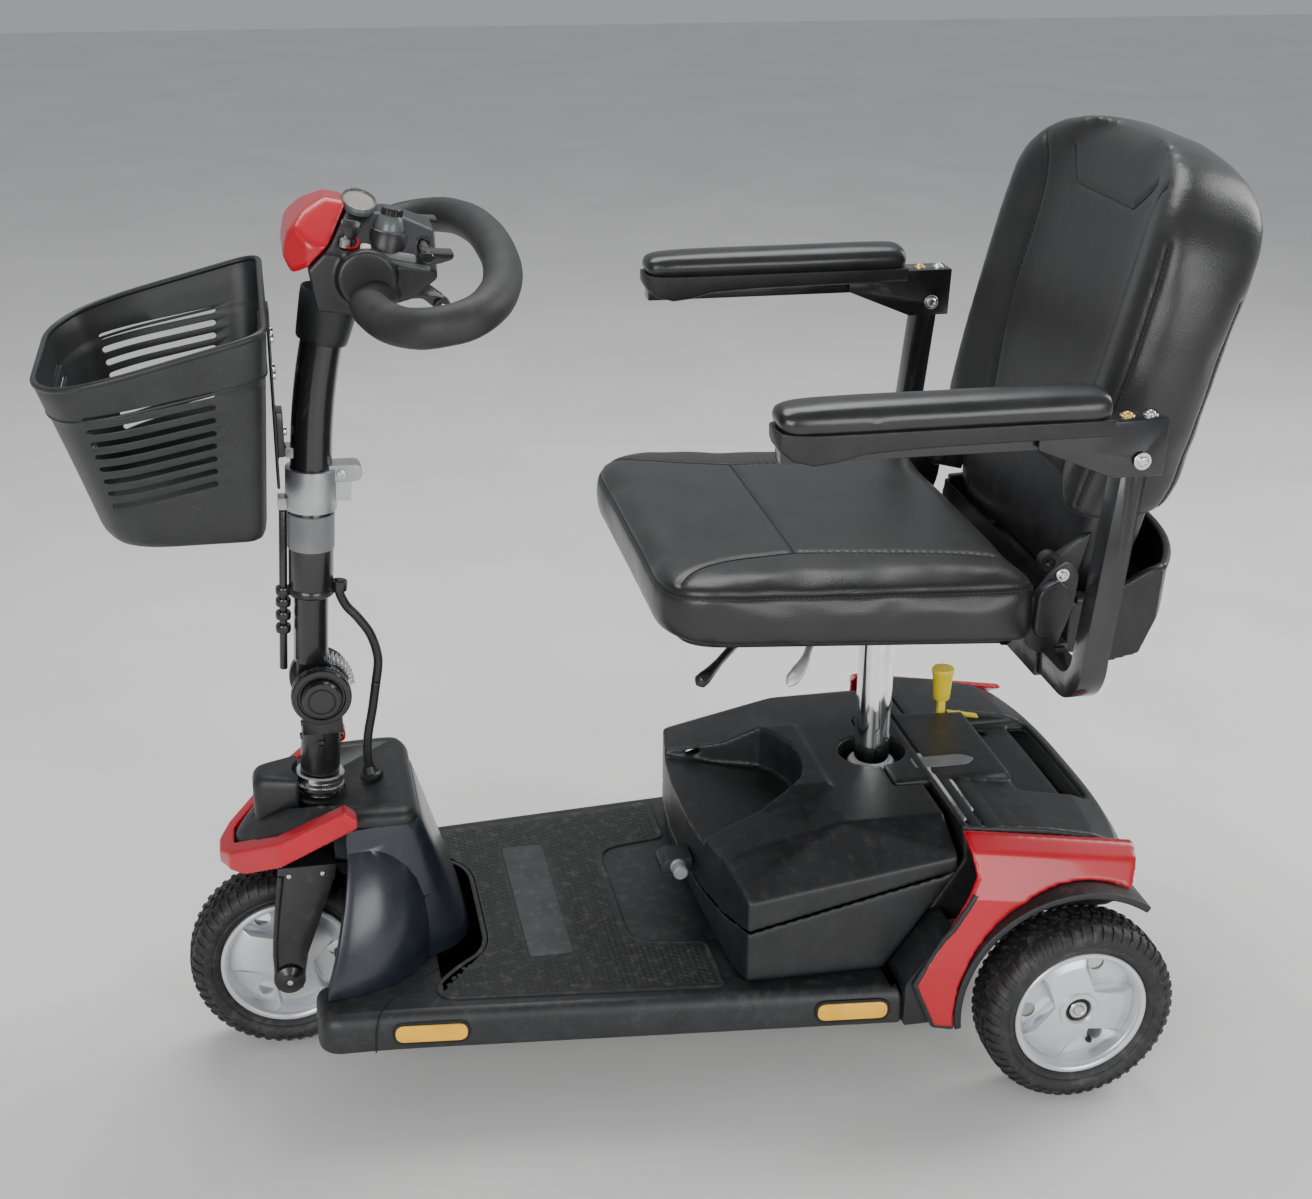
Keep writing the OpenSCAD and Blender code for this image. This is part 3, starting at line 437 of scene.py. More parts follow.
# ------------------------------------------------------------------ finishes
def finish(name, colour, other=None, rough=(0.4, 0.5), metal=0.0, coat=0.0, coat_rough=0.08, sheen=0.0,
           specular=0.5, patches=30.0, bumps=(), dust=0.0, speck=None):
    """A surface that drifts in patches, with layers of bumps: (kind, per metre, height in mm)."""
    made = bpy.data.materials.new(name)
    made.use_nodes = True
    tree = made.node_tree
    shader = tree.nodes["Principled BSDF"]
    shader.inputs["Metallic"].default_value = metal
    shader.inputs["Coat Weight"].default_value = coat
    shader.inputs["Coat Roughness"].default_value = coat_rough
    shader.inputs["Sheen Weight"].default_value = sheen
    shader.inputs["Sheen Roughness"].default_value = 0.5
    shader.inputs["Specular IOR Level"].default_value = specular
    spot = tree.nodes.new("ShaderNodeTexCoord").outputs["Object"]
    drift = tree.nodes.new("ShaderNodeTexNoise")
    drift.inputs["Scale"].default_value, drift.inputs["Detail"].default_value = patches, 6
    tone = tree.nodes.new("ShaderNodeMix")
    tone.data_type = "RGBA"
    tone.inputs["A"].default_value = (*colour, 1)
    tone.inputs["B"].default_value = (*(other or [min(1, c * 1.35 + 0.002) for c in colour]), 1)
    spread = tree.nodes.new("ShaderNodeMapRange")
    spread.inputs["From Min"].default_value, spread.inputs["From Max"].default_value = 0.35, 0.65
    dull = tree.nodes.new("ShaderNodeMapRange")
    dull.inputs["To Min"].default_value, dull.inputs["To Max"].default_value = rough
    chain(tree, (spot, drift.inputs["Vector"]), (drift.outputs["Fac"], spread.inputs["Value"]),
          (spread.outputs["Result"], tone.inputs["Factor"]), (drift.outputs["Fac"], dull.inputs["Value"]),
          (dull.outputs["Result"], shader.inputs["Roughness"]))
    shown = tone.outputs["Result"]
    if dust:
        upward = tree.nodes.new("ShaderNodeSeparateXYZ")
        fall = tree.nodes.new("ShaderNodeNewGeometry")
        grit = tree.nodes.new("ShaderNodeTexNoise")
        grit.inputs["Scale"].default_value, grit.inputs["Detail"].default_value = 90, 8
        share = tree.nodes.new("ShaderNodeMapRange")
        share.inputs["From Min"].default_value, share.inputs["From Max"].default_value = 0.52, 0.8
        share.inputs["To Max"].default_value = dust
        keep = tree.nodes.new("ShaderNodeMath")
        keep.operation = "MULTIPLY"
        keep.use_clamp = True
        pale = tree.nodes.new("ShaderNodeMix")
        pale.data_type = "RGBA"
        pale.inputs["B"].default_value = (0.42, 0.38, 0.33, 1)
        lift = tree.nodes.new("ShaderNodeMapRange")
        lift.inputs["From Min"].default_value, lift.inputs["To Min"].default_value = -0.2, 0.25
        chain(tree, (fall.outputs["Normal"], upward.inputs[0]), (upward.outputs["Z"], lift.inputs["Value"]),
              (spot, grit.inputs["Vector"]), (grit.outputs["Fac"], share.inputs["Value"]),
              (share.outputs["Result"], keep.inputs[0]), (lift.outputs["Result"], keep.inputs[1]),
              (keep.outputs[0], pale.inputs["Factor"]), (shown, pale.inputs["A"]))
        shown = pale.outputs["Result"]
    if speck:
        per_metre, tint, amount = speck
        fleck = tree.nodes.new("ShaderNodeTexNoise")
        fleck.inputs["Scale"].default_value, fleck.inputs["Detail"].default_value = per_metre, 2
        few = tree.nodes.new("ShaderNodeMapRange")
        few.inputs["From Min"].default_value, few.inputs["From Max"].default_value = 0.62, 0.72
        few.inputs["To Max"].default_value = amount
        over = tree.nodes.new("ShaderNodeMix")
        over.data_type = "RGBA"
        over.inputs["B"].default_value = (*tint, 1)
        chain(tree, (spot, fleck.inputs["Vector"]), (fleck.outputs["Fac"], few.inputs["Value"]),
              (few.outputs["Result"], over.inputs["Factor"]), (shown, over.inputs["A"]))
        shown = over.outputs["Result"]
    tree.links.new(shown, shader.inputs["Base Color"])
    last = None
    for kind, per_metre, height in bumps:
        if kind == "cells":
            grain = tree.nodes.new("ShaderNodeTexVoronoi")
            grain.inputs["Scale"].default_value = per_metre
            level = grain.outputs["Distance"]
        elif kind == "brushed":
            grain = tree.nodes.new("ShaderNodeTexNoise")
            grain.inputs["Scale"].default_value, grain.inputs["Detail"].default_value = per_metre, 3
            level = grain.outputs["Fac"]
        else:
            grain = tree.nodes.new("ShaderNodeTexNoise")
            grain.inputs["Scale"].default_value, grain.inputs["Detail"].default_value = per_metre, 4
            level = grain.outputs["Fac"]
        relief = tree.nodes.new("ShaderNodeBump")
        relief.inputs["Strength"].default_value = 1.0
        relief.inputs["Distance"].default_value = height / 1000
        if kind == "brushed":
            long = tree.nodes.new("ShaderNodeMapping")
            long.inputs["Scale"].default_value = (1, 1, 0.04)
            chain(tree, (spot, long.inputs["Vector"]), (long.outputs[0], grain.inputs["Vector"]))
        else:
            tree.links.new(spot, grain.inputs["Vector"])
        tree.links.new(level, relief.inputs["Height"])
        if last:
            tree.links.new(last, relief.inputs["Normal"])
        last = relief.outputs["Normal"]
    if last:
        tree.links.new(last, shader.inputs["Normal"])
    return made


frame_paint = finish("frame_paint", (0.012, 0.012, 0.013), rough=(0.28, 0.42), coat=0.25,
                     bumps=[("noise", 500, 0.03)], dust=0.12)
deck_plastic = finish("deck_plastic", (0.014, 0.015, 0.016), rough=(0.36, 0.52),
                      bumps=[("cells", 1100, 0.05), ("noise", 160, 0.05)],
                      dust=0.1, speck=(420, (0.2, 0.19, 0.18), 0.12))
mat_rubber = finish("mat_rubber", (0.017, 0.018, 0.018), rough=(0.55, 0.75), bumps=[("cells", 800, 0.12)],
                    dust=0.16)
mat_pad_grey = finish("mat_pad_grey", (0.045, 0.047, 0.049), rough=(0.6, 0.8),
                      bumps=[("cells", 620, 0.25), ("noise", 1500, 0.08)], dust=0.15)
reflector = finish("reflector", (0.9, 0.43, 0.0), (1.0, 0.55, 0.02), rough=(0.12, 0.22), coat=0.8,
                   bumps=[("cells", 420, 0.12)])
shroud_gloss = finish("shroud_gloss", (0.011, 0.015, 0.024), (0.016, 0.02, 0.03), rough=(0.24, 0.36),
                      coat=0.35, coat_rough=0.2,
                      bumps=[("noise", 700, 0.02)], dust=0.05)
body_plastic = finish("body_plastic", (0.012, 0.0125, 0.0135), rough=(0.36, 0.48),
                      bumps=[("cells", 1300, 0.045), ("noise", 90, 0.05)],
                      dust=0.06, speck=(500, (0.16, 0.16, 0.16), 0.1))
red_gloss = finish("red_gloss", (0.46, 0.001, 0.010), (0.54, 0.002, 0.016), rough=(0.24, 0.36), coat=0.32,
                   coat_rough=0.05,
                   bumps=[("noise", 45, 0.10), ("noise", 600, 0.006)], patches=12)
bare_steel = finish("bare_steel", (0.62, 0.62, 0.62), rough=(0.18, 0.34), metal=1.0,
                    bumps=[("noise", 900, 0.015)])
brass_steel = finish("brass_steel", (0.72, 0.52, 0.2), rough=(0.25, 0.4), metal=1.0,
                     bumps=[("noise", 900, 0.02)])
drive_metal = finish("drive_metal", (0.1, 0.1, 0.105), rough=(0.45, 0.6), metal=0.6,
                     bumps=[("noise", 400, 0.08)])
battery_case = finish("battery_case", (0.02, 0.02, 0.022), rough=(0.5, 0.6), bumps=[("cells", 900, 0.05)])
latch_grey = finish("latch_grey", (0.24, 0.245, 0.25), rough=(0.35, 0.5), metal=0.3,
                    bumps=[("noise", 600, 0.03)])
ring_white = finish("ring_white", (0.72, 0.75, 0.78), rough=(0.25, 0.4), bumps=[("noise", 300, 0.02)])
cable_jacket = finish("cable_jacket", (0.01, 0.01, 0.01), rough=(0.3, 0.42), bumps=[("noise", 700, 0.02)])
tyre_rubber = finish("tyre_rubber", (0.012, 0.012, 0.013), (0.02, 0.02, 0.021), rough=(0.45, 0.68),
                     bumps=[("noise", 900, 0.05)],
                     dust=0.22, speck=(260, (0.3, 0.28, 0.25), 0.12))
rim_silver = finish("rim_silver", (0.66, 0.68, 0.71), (0.72, 0.74, 0.76), rough=(0.26, 0.38), metal=0.55,
                    coat=0.3,
                    bumps=[("noise", 900, 0.01)], speck=(300, (0.3, 0.3, 0.3), 0.12))
tube_black = finish("tube_black", (0.009, 0.009, 0.01), rough=(0.2, 0.32), coat=0.5, coat_rough=0.1,
                    bumps=[("noise", 350, 0.02)])
clamp_grey = finish("clamp_grey", (0.40, 0.42, 0.42), rough=(0.3, 0.45), metal=0.75,
                    bumps=[("noise", 500, 0.03)])
console_black = finish("console_black", (0.013, 0.013, 0.014), rough=(0.3, 0.42),
                       bumps=[("cells", 1500, 0.03)])
bar_foam = finish("bar_foam", (0.018, 0.018, 0.018), (0.03, 0.03, 0.03), rough=(0.5, 0.66),
                  bumps=[("noise", 60, 0.25), ("cells", 900, 0.05)],
                  dust=0.05)
basket_plastic = finish("basket_plastic", (0.015, 0.0155, 0.016), rough=(0.38, 0.5),
                        bumps=[("cells", 1200, 0.04), ("noise", 120, 0.05)],
                        speck=(350, (0.15, 0.15, 0.15), 0.1))
knob_grey = finish("knob_grey", (0.075, 0.085, 0.085), rough=(0.25, 0.4), coat=0.3,
                   bumps=[("noise", 500, 0.03)])
button_yellow = finish("button_yellow", (0.75, 0.72, 0.6), rough=(0.3, 0.4), bumps=[("noise", 400, 0.02)])
post_chrome = finish("post_chrome", (0.78, 0.78, 0.79), rough=(0.05, 0.12), metal=1.0,
                     bumps=[("brushed", 500, 0.01)])
leather_bumps = [("noise", 16, 0.9), ("cells", 640, 0.13), ("noise", 1600, 0.05)]
seat_vinyl = finish("seat_vinyl", (0.0125, 0.0125, 0.013), (0.018, 0.0178, 0.0175), rough=(0.3, 0.44),
                    coat=0.12, coat_rough=0.25,
                    sheen=0.05, bumps=leather_bumps, patches=22)
seat_plastic = finish("seat_plastic", (0.011, 0.011, 0.012), rough=(0.34, 0.46),
                      bumps=[("cells", 500, 0.12)], dust=0.06)
arm_vinyl = finish("arm_vinyl", (0.012, 0.012, 0.0125), rough=(0.24, 0.36), coat=0.25, coat_rough=0.2,
                   bumps=[("noise", 30, 0.3), ("cells", 900, 0.06)])
lever_black = finish("lever_black", (0.008, 0.008, 0.008), rough=(0.2, 0.35), coat=0.3,
                     bumps=[("noise", 300, 0.03)])
lever_steel = finish("lever_steel", (0.66, 0.66, 0.65), rough=(0.25, 0.45), metal=0.5,
                     bumps=[("noise", 220, 0.1)])
lever_yellow = finish("lever_yellow", (0.86, 0.66, 0.02), (0.9, 0.72, 0.05), rough=(0.3, 0.42),
                      bumps=[("noise", 300, 0.03)])
thread_dark = finish("thread_dark", (0.05, 0.05, 0.052), rough=(0.5, 0.6), bumps=[("noise", 2500, 0.04)])
groove_dark = finish("groove_dark", (0.004, 0.004, 0.004), rough=(0.6, 0.7), bumps=[("noise", 900, 0.02)])
panel_grey = finish("panel_grey", (0.16, 0.165, 0.17), rough=(0.35, 0.45), bumps=[("noise", 800, 0.02)])
dial_face = finish("dial_face", (0.33, 0.31, 0.27), (0.4, 0.38, 0.33), rough=(0.08, 0.16), coat=1.0,
                   bumps=[("noise", 60, 0.05)])

# ------------------------------------------------------------------ camera, light and floor
lens = 2008 / 1312 * 36
look_right, look_down, roll = math.radians(11.657), math.radians(22.503), math.radians(0.555)
forward = Vector((math.sin(look_right) * math.cos(look_down), math.cos(look_right) * math.cos(look_down),
                  -math.sin(look_down)))
right = Vector((math.cos(look_right), -math.sin(look_right), 0))
up = right.cross(forward)
right, up = math.cos(roll) * right + math.sin(roll) * up, -math.sin(roll) * right + math.cos(roll) * up
camera = bpy.data.objects.new("camera", bpy.data.cameras.new("camera"))
camera.data.lens, camera.data.sensor_width, camera.data.sensor_fit = lens, 36, "HORIZONTAL"
camera.matrix_world = Matrix((
    (right.x, up.x, -forward.x, axle_x + 0.00987), (right.y, up.y, -forward.y, -1.8649),
    (right.z, up.z, -forward.z, 1.26378), (0, 0, 0, 1)))
bpy.context.scene.collection.objects.link(camera)
bpy.context.scene.camera = camera

sky = bpy.data.worlds.new("studio")
bpy.context.scene.world = sky
sky.use_nodes = True
sky.node_tree.nodes["Background"].inputs["Color"].default_value = (0.86, 0.88, 0.92, 1)
sky.node_tree.nodes["Background"].inputs["Strength"].default_value = 0.42


def lamp(name, place, target, size, power):
    """A soft panel light that faces a target."""
    light = bpy.data.lights.new(name, "AREA")
    light.shape, light.size, light.size_y, light.energy = "RECTANGLE", size[0], size[1], power
    thing = bpy.data.objects.new(name, light)
    thing.location = place
    thing.rotation_euler = (Vector(target) - Vector(place)).to_track_quat("-Z", "Y").to_euler()
    bpy.context.scene.collection.objects.link(thing)


lamp("overhead", (0.0, 0.9, 2.8), (0.05, 0, 0.3), (2.2, 1.4), 52)
lamp("front_left", (-1.9, -2.9, 1.5), (0, 0, 0.45), (1.9, 1.5), 62)
lamp("rear_right", (2.6, 0.6, 1.9), (0.2, 0, 0.6), (1.0, 1.8), 38)
lamp("near_side", (1.1, -2.9, 1.1), (0.1, 0, 0.5), (1.7, 1.1), 34)

floor_mesh = bpy.data.meshes.new("floor")
floor_mesh.from_pydata([(-9, -9, 0), (9, -9, 0), (9, 9, 0), (-9, 9, 0)], [], [(0, 1, 2, 3)])
floor = bpy.data.objects.new("floor", floor_mesh)
bpy.context.scene.collection.objects.link(floor)
floor_mesh.materials.append(finish("pale_floor", (0.80, 0.79, 0.775), (0.85, 0.84, 0.825),
                                   rough=(0.6, 0.8), patches=3,
                                   bumps=[("noise", 40, 0.3)]))

# ------------------------------------------------------------------ fasteners
bolt_shape = turned("bolt_shape",
                    [(0, -1.5), (5.2, -1.5), (5.2, 1.0), (4.6, 2.2), (2.6, 2.6), (2.2, 1.2), (0, 1.2)],
                    Vector((0, 0, 0)), (0, 0, 1), 18)
washer_bolt = joined("washer_bolt",
                     turned("w", [(3, -0.6), (9.4, -0.6), (9.4, 0.8), (8.8, 1.3), (3, 1.3)],
                            Vector((0, 0, 0)), (0, 0, 1), 28),
                     turned("b", [(0, 0), (6.2, 0), (6.2, 2.6), (4.6, 4.2), (3.2, 4.4), (2.8, 2.6),
                                  (0, 2.6)], Vector((0, 0, 0)), (0, 0, 1), 24))
stitch_shape = tube("stitch_shape",
                    [Vector((0, 0, -0.0015)), Vector((0, 0.0002, -0.0009)), Vector((0, 0.0002, 0.0009)),
                     Vector((0, 0, 0.0015))],
                    0.3, 6)
templates = [bolt_shape, washer_bolt, stitch_shape]


def bolts(name, body, spots, finish_of=bare_steel, shape=None, size=1.0):
    """Screw heads at (x, y, z) in millimetres, each facing a direction."""
    return grown(name, SCATTER, body, finish_of, [at(*p) for p, _ in spots],
                 [facing(Vector(w)) for _, w in spots],
                 Shape=shape or bolt_shape, Size=size)


# ------------------------------------------------------------------ wheels
def wheel(side_name, x, y, half, body, tyre_node, rim_node, outer, turn_by):
    """A tyre with tread blocks and shoulder bars, and a rim with three wide spokes."""
    centre = at(x, y, axle_z)
    across = Vector((0, 1, 0))
    h = half
    carcass = [(70, h - 9), (72, h - 6.5), (75, h - 4.5), (77, h - 3.4), (78.2, h - 3.8), (79.4, h - 2.6),
               (84, h - 0.6), (88, h - 0.6),
               (91.5, h - 1.8), (95, h - 4.6), (97.4, h - 8.4), (98.9, h - 14), (99.3, 6)]
    profile = carcass + [(r, -w) for r, w in reversed(carcass)]
    put(turned("tyre_" + side_name, profile, centre, across, 96), tyre_rubber, body, tyre_node)
    base = lambda r, w: Vector((r / 1000, 0, w / 1000))

    def block(name, spine, wide, tall):
        """A raised bar over the tyre's skin: spine is radius and width pairs, slant its sweep."""
        rings = []
        for i, (r, w, sweep) in enumerate(spine):
            r1, w1, _ = spine[min(i + 1, len(spine) - 1)]
            r0, w0, _ = spine[max(i - 1, 0)]
            out = Vector((w0 - w1, r1 - r0)).normalized() if (w0 - w1) or (r1 - r0) else Vector((1, 0))
            out = out if out.x * 1 + out.y * (1 if w > 0 else -1) > 0 else -out
            low, high = -1.2, tall
            rings.append([base(r + out.x * e, w + out.y * e) + Vector((0, (s * wd + sweep) / 1000, 0))
                          for e, s, wd in ((low, -1, wide), (high, -1, wide * 0.72),
                                           (high, 1, wide * 0.72), (low, 1, wide))])
        return loft(name, rings)

    count = 54
    rows = []
    bar = block("bar", [(88.5, h - 1.2, 2.2), (92, h - 2.6, 1.4), (95.4, h - 5.4, 0.7), (97.6, h - 9, 0),
                        (98.8, h - 13, -0.4)], 2.5, 1.7)
    crown = block("crown", [(99.1, 11.5, 1.6), (99.2, 8.2, 0.4), (99.2, 4.8, -1.2)], 3.4, 2.2)
    middle = block("middle", [(99.2, 3.2, -1.4), (99.2, 0, 0.6), (99.2, -3.2, -1.4)], 3.2, 2.3)
    for flip in (0, 1):
        for shape, shift in ((bar, 0), (crown, 0.5)):
            copy = shape if not flip else mirror_z(shape)
            rows.append((copy, shift + 0.25 * flip))
    rows.append((middle, 0.0))
    for n, (shape, shift) in enumerate(rows):
        grown(f"tread_{side_name}_{n}", RING, body, tyre_rubber, Shape=shape, Count=count,
              Step=math.tau / count,
              Start=shift * math.tau / count, Centre=tuple(centre), Turn=(math.pi / 2, 0, 0))
    for shape in {s for s, _ in rows}:
        bpy.data.objects.remove(shape)
    # rim
    lip = [(70, -25.4), (70, 25.4), (69, 26.2), (66.5, 26.4), (64.6, 25.2), (64, 23), (62.4, 21.6),
           (61.4, 12), (61, 0), (61.4, -12),
           (62.4, -21.6), (64, -23), (64.6, -25.2), (66.5, -26.4), (69, -26.2)]
    rim = [turned("lip", lip, centre, across, 96)]
    web = turned("web", [(12, -3), (61.5, -3), (61.5, 1), (12, 1)], centre, across, 72)
    for k in range(3):
        a = math.radians(turn_by + 60 + 120 * k)
        hole = turned("hole", [(0, -20), (8.5, -20), (8.5, 20), (0, 20)],
                      centre + Vector((math.cos(a + 0.25) * 0.049, 0, math.sin(a + 0.25) * 0.049)),
                      across, 24)
        carved(web, hole)
    rim.append(web)

    def star(reach, corner, half_angle):
        """The outline of three joined spokes."""
        made = []
        for k in range(3):
            a = turn_by + 120 * k
            edge = [(reach, a + t * half_angle / 3) for t in range(-3, 4)]
            made += [(r * math.cos(math.radians(b)), r * math.sin(math.radians(b))) for r, b in edge]
            b = math.radians(a + 60)
            made.append((corner * math.cos(b), corner * math.sin(b)))
        return made
    for way in (1, -1):
        if way * outer < 0:
            continue
        layers = [(61.6, 24, 25.5, 0.5), (61.6, 24, 25.5, 12.5), (61.2, 24.6, 25, 13.2),
                  (50, 24.4, 24.5, 17.4), (49, 25.4, 23.6, 18)]
        rings = [[centre + Vector((p[0] / 1000, way * y_out / 1000, p[1] / 1000))
                  for p in star(reach, corner, turn)]
                 for reach, corner, turn, y_out in layers]
        star_face = carved(softened(loft("star", rings), 0.7, 2, 40),
                           turned("hub_hole", [(0, 6 * way), (14, 6 * way), (14, 30 * way),
                                               (0, 30 * way)], centre, across, 48))
        rim.append(star_face)
        rim.append(turned("boss", [(13.5, 10 * way), (20.5, 10 * way), (20.5, 19.5 * way),
                                   (19.4, 21 * way), (15.2, 21 * way), (13.5, 19 * way)],
                          centre, across, 48))
        valve_at = centre + Vector((math.cos(math.radians(turn_by - 56)) * 0.052, 0,
                                    math.sin(math.radians(turn_by - 56)) * 0.052))
        put(turned("valve_" + side_name + ("" if way > 0 else "_far"),
                   [(0, 0), (3.2, 0), (3.2, 6 * way), (2.2, 8 * way), (0, 8 * way)],
                   valve_at, across, 16), cable_jacket, body)
        put(turned("bearing_shield_" + side_name + ("" if way > 0 else "_far"),
                   [(0, 9 * way), (13.6, 9 * way), (13.8, 16.4 * way), (11.4, 17.4 * way),
                    (9.6, 16 * way), (0, 16 * way)], centre, across, 40),
            cable_jacket, body)
        put(turned("bearing_race_" + side_name + ("" if way > 0 else "_far"),
                   [(5.2, 14 * way), (9.4, 14 * way), (9.4, 18.2 * way), (8.6, 19 * way), (6.2, 19 * way),
                    (5.2, 18 * way)], centre, across, 40),
            bare_steel, body)
    put(joined("rim_" + side_name, *rim), rim_silver, body, rim_node)


def mirror_z(thing):
    """The same piece turned over, for the other side of a wheel."""
    mesh = thing.data.copy()
    mesh.transform(Matrix.Scale(-1, 4, (0, 0, 1)))
    mesh.flip_normals()
    made = bpy.data.objects.new(thing.name + "_flip", mesh)
    bpy.context.scene.collection.objects.link(made)
    return made


wheel("front", 0, 0, 30, "front_wheel", "front_tyre", "front_rim", 0, 45)
wheel("rear_left", rear_x, -243, 32, "rear_wheel_left", "rear_tyre_left", "rear_rim_left", -1, -10)
wheel("rear_right", rear_x, 243, 32, "rear_wheel_right", "rear_tyre_right", "rear_rim_right", 1, -10)
for side, way in (("left", -1), ("right", 1)):
    put(turned("axle_tip_" + side, [(0, 120 * way), (8.4, 120 * way), (8.4, 236 * way), (4.6, 262 * way),
                                    (4.2, 262.6 * way), (0, 262.6 * way)],
               at(rear_x, 0, axle_z), (0, 1, 0), 32), bare_steel, "rear_wheel_" + side)
polished("front_bearings", bare_steel, 0.4)

# ------------------------------------------------------------------ fork and steering head
polished("fork", frame_paint, 1.6, 3)
for way in (1, -1):
    y_out = way * 54
    rib = tube("fork_fold_" + ("right" if way > 0 else "left"),
               curve_through([at(-2, y_out, 222), at(-8, y_out, 180), at(-13, y_out, 132),
                              at(-12, y_out, 96)], 6),
               lambda t: 3.4 - 1.2 * t, 12)
    put(rib, frame_paint, "steer_stem")
put(turned("axle_caps", [(0, -63.5), (6, -63.5), (9.5, -62), (15.5, -59), (16.4, -57), (16.4, -50),
                         (11.2, -50), (11.2, 50), (16.4, 50), (16.4, 57), (15.5, 59),
                         (9.5, 62), (6, 63.5), (0, 63.5)], at(0, 0, axle_z), (0, 1, 0), 40), lever_black,
    "steer_stem", "front_axle")
bolts("axle_bolts", "steer_stem", [((0, -63, axle_z), (0, -1, 0)), ((0, 63, axle_z), (0, 1, 0))],
      bare_steel, size=0.62)
bolts("crown_bolts", "steer_stem",
      [((6, -55, 222), (0, -1, 0.1)), ((40, -55, 222), (0, -1, 0.1)), ((6, 55, 222), (0, 1, 0.1)),
       ((40, 55, 222), (0, 1, 0.1))],
      bare_steel, size=0.5)
rake = math.radians(5)
steer_way = Vector((math.sin(rake), 0, math.cos(rake)))
steer_foot = at(53 - 407 * math.tan(rake), 0, 0)
put(turned("collar_ring", [(14.2, 297), (24, 297), (25, 298), (25, 301.5), (23.2, 302.6), (23.2, 307.4),
                           (25, 308.5), (25, 312.5), (23.6, 314), (14.2, 314)],
           steer_foot, steer_way, 72), bare_steel, "steer_stem", "steer_collar")
knurl = turned("knurl", [(0, -2), (0.9, -2), (0.9, 2), (0, 2)], Vector((0.0236, 0, 0)), (0, 0, 1), 6)
grown("collar_knurl", RING, "steer_stem", bare_steel, Shape=knurl, Count=60, Step=math.tau / 60,
      Centre=tuple(steer_foot + steer_way * 0.305),
      Turn=(0, rake, 0))
bpy.data.objects.remove(knurl)
polished("tiller_knuckle", frame_paint, 1.4, 3)
bolts("knuckle_bolts", "steer_stem",
      [((68.5, 0, 352), (1, 0, 0.1)), ((67, 0, 366), (1, 0, 0.1)), ((28.5, 0, 352), (-1, 0, -0.1)),
       ((30, 0, 366), (-1, 0, -0.1)),
                                      ((47, -20.5, 352), (0, -1, 0)), ((47, 20.5, 352), (0, 1, 0))],
      lever_black, size=0.7)
for way, side in ((1, "right"), (-1, "left")):
    disc = [(0, 21 * way), (30, 21 * way), (30, 24 * way), (28.8, 25 * way), (28.8, 26.2 * way),
            (30, 27 * way), (30, 30 * way), (28.6, 32 * way),
            (24, 32.6 * way), (23, 31 * way), (21.5, 31 * way), (20.6, 33 * way), (20, 37 * way),
            (18.2, 39.6 * way), (14, 40 * way), (13.4, 39 * way),
            (12.6, 39 * way), (12, 40 * way), (0, 40.4 * way)]
    put(turned("pivot_disc_" + side, disc, at(50, 0, 407), (0, 1, 0), 64), lever_black, "tiller",
        *(["pivot_disc"] if way > 0 else []))
tooth = softened(loft("tooth", [[Vector((x, y, z))
                                 for x, y in ((0.030, -0.0018), (0.0345, -0.0006), (0.0345, 0.0006),
                                              (0.030, 0.0018))] for z in (-0.012, 0.012)]), 0.3, 1)
grown("pivot_teeth", RING, "tiller", bare_steel, Shape=tooth, Count=16, Step=math.radians(8),
      Start=math.radians(8),
      Centre=tuple(at(50, 0, 407)), Turn=(math.pi / 2, 0, 0))
bpy.data.objects.remove(tooth)
polished("tiller_column", tube_black, 0.8, 2)
polished("tiller_clamp", clamp_grey, 2.4, 4)
polished("lock_rod", tube_black, 0.8)
lean = math.radians(3.2)
column_way = Vector((math.sin(lean), 0, math.cos(lean)))
column_foot = at(41, 0, 407)
for n, s in enumerate((64, 78, 92, 104)):
    put(turned(f"rod_guide_{n}", [(4.1, -4), (7, -4), (7.6, -2.6), (7.6, 2.6), (7, 4), (4.1, 4)],
               column_foot + column_way * s / 1000 + Vector((-0.027, 0, 0.0015)), column_way, 24),
        lever_black, "tiller")
put(turned("sleeve_end", [(17.2, 101), (21.6, 101), (23.2, 103), (23.2, 107), (22.1, 109), (17.2, 109)],
           column_foot, column_way, 48), lever_black, "tiller")
put(turned("sleeve_band", [(22, 150), (22.9, 150.4), (22.9, 186), (22, 186.6)], column_foot, column_way,
           48), panel_grey, "tiller")
clamp_lever = slab("clamp_tab",
                   filleted([(66, 625), (100, 625), (103, 634), (99, 642), (66, 642)], [1, 6, 6, 6, 1],
                            4), -11, 11, 2.4, 3)
put(clamp_lever, clamp_grey, "tiller")
bolts("clamp_bolts", "tiller", [((82, -12, 633.5), (0, -1, 0)), ((82, 12, 633.5), (0, 1, 0))], bare_steel,
      size=0.9)

# upper tube, boot and cables
bend_s, bend_r, bend = 243, 690, math.radians(11)
across_column = Vector((math.cos(lean), 0, -math.sin(lean)))


def on_bend(share):
    """A point on the upper tube's middle line, from the clamp to the boot."""
    if share <= 0.25:
        return column_foot + column_way * (190 + (bend_s - 190) * share / 0.25) / 1000
    a = bend * (share - 0.25) / 0.75
    start = column_foot + column_way * bend_s / 1000
    return start + (across_column * (1 - math.cos(a)) + column_way * math.sin(a)) * bend_r / 1000


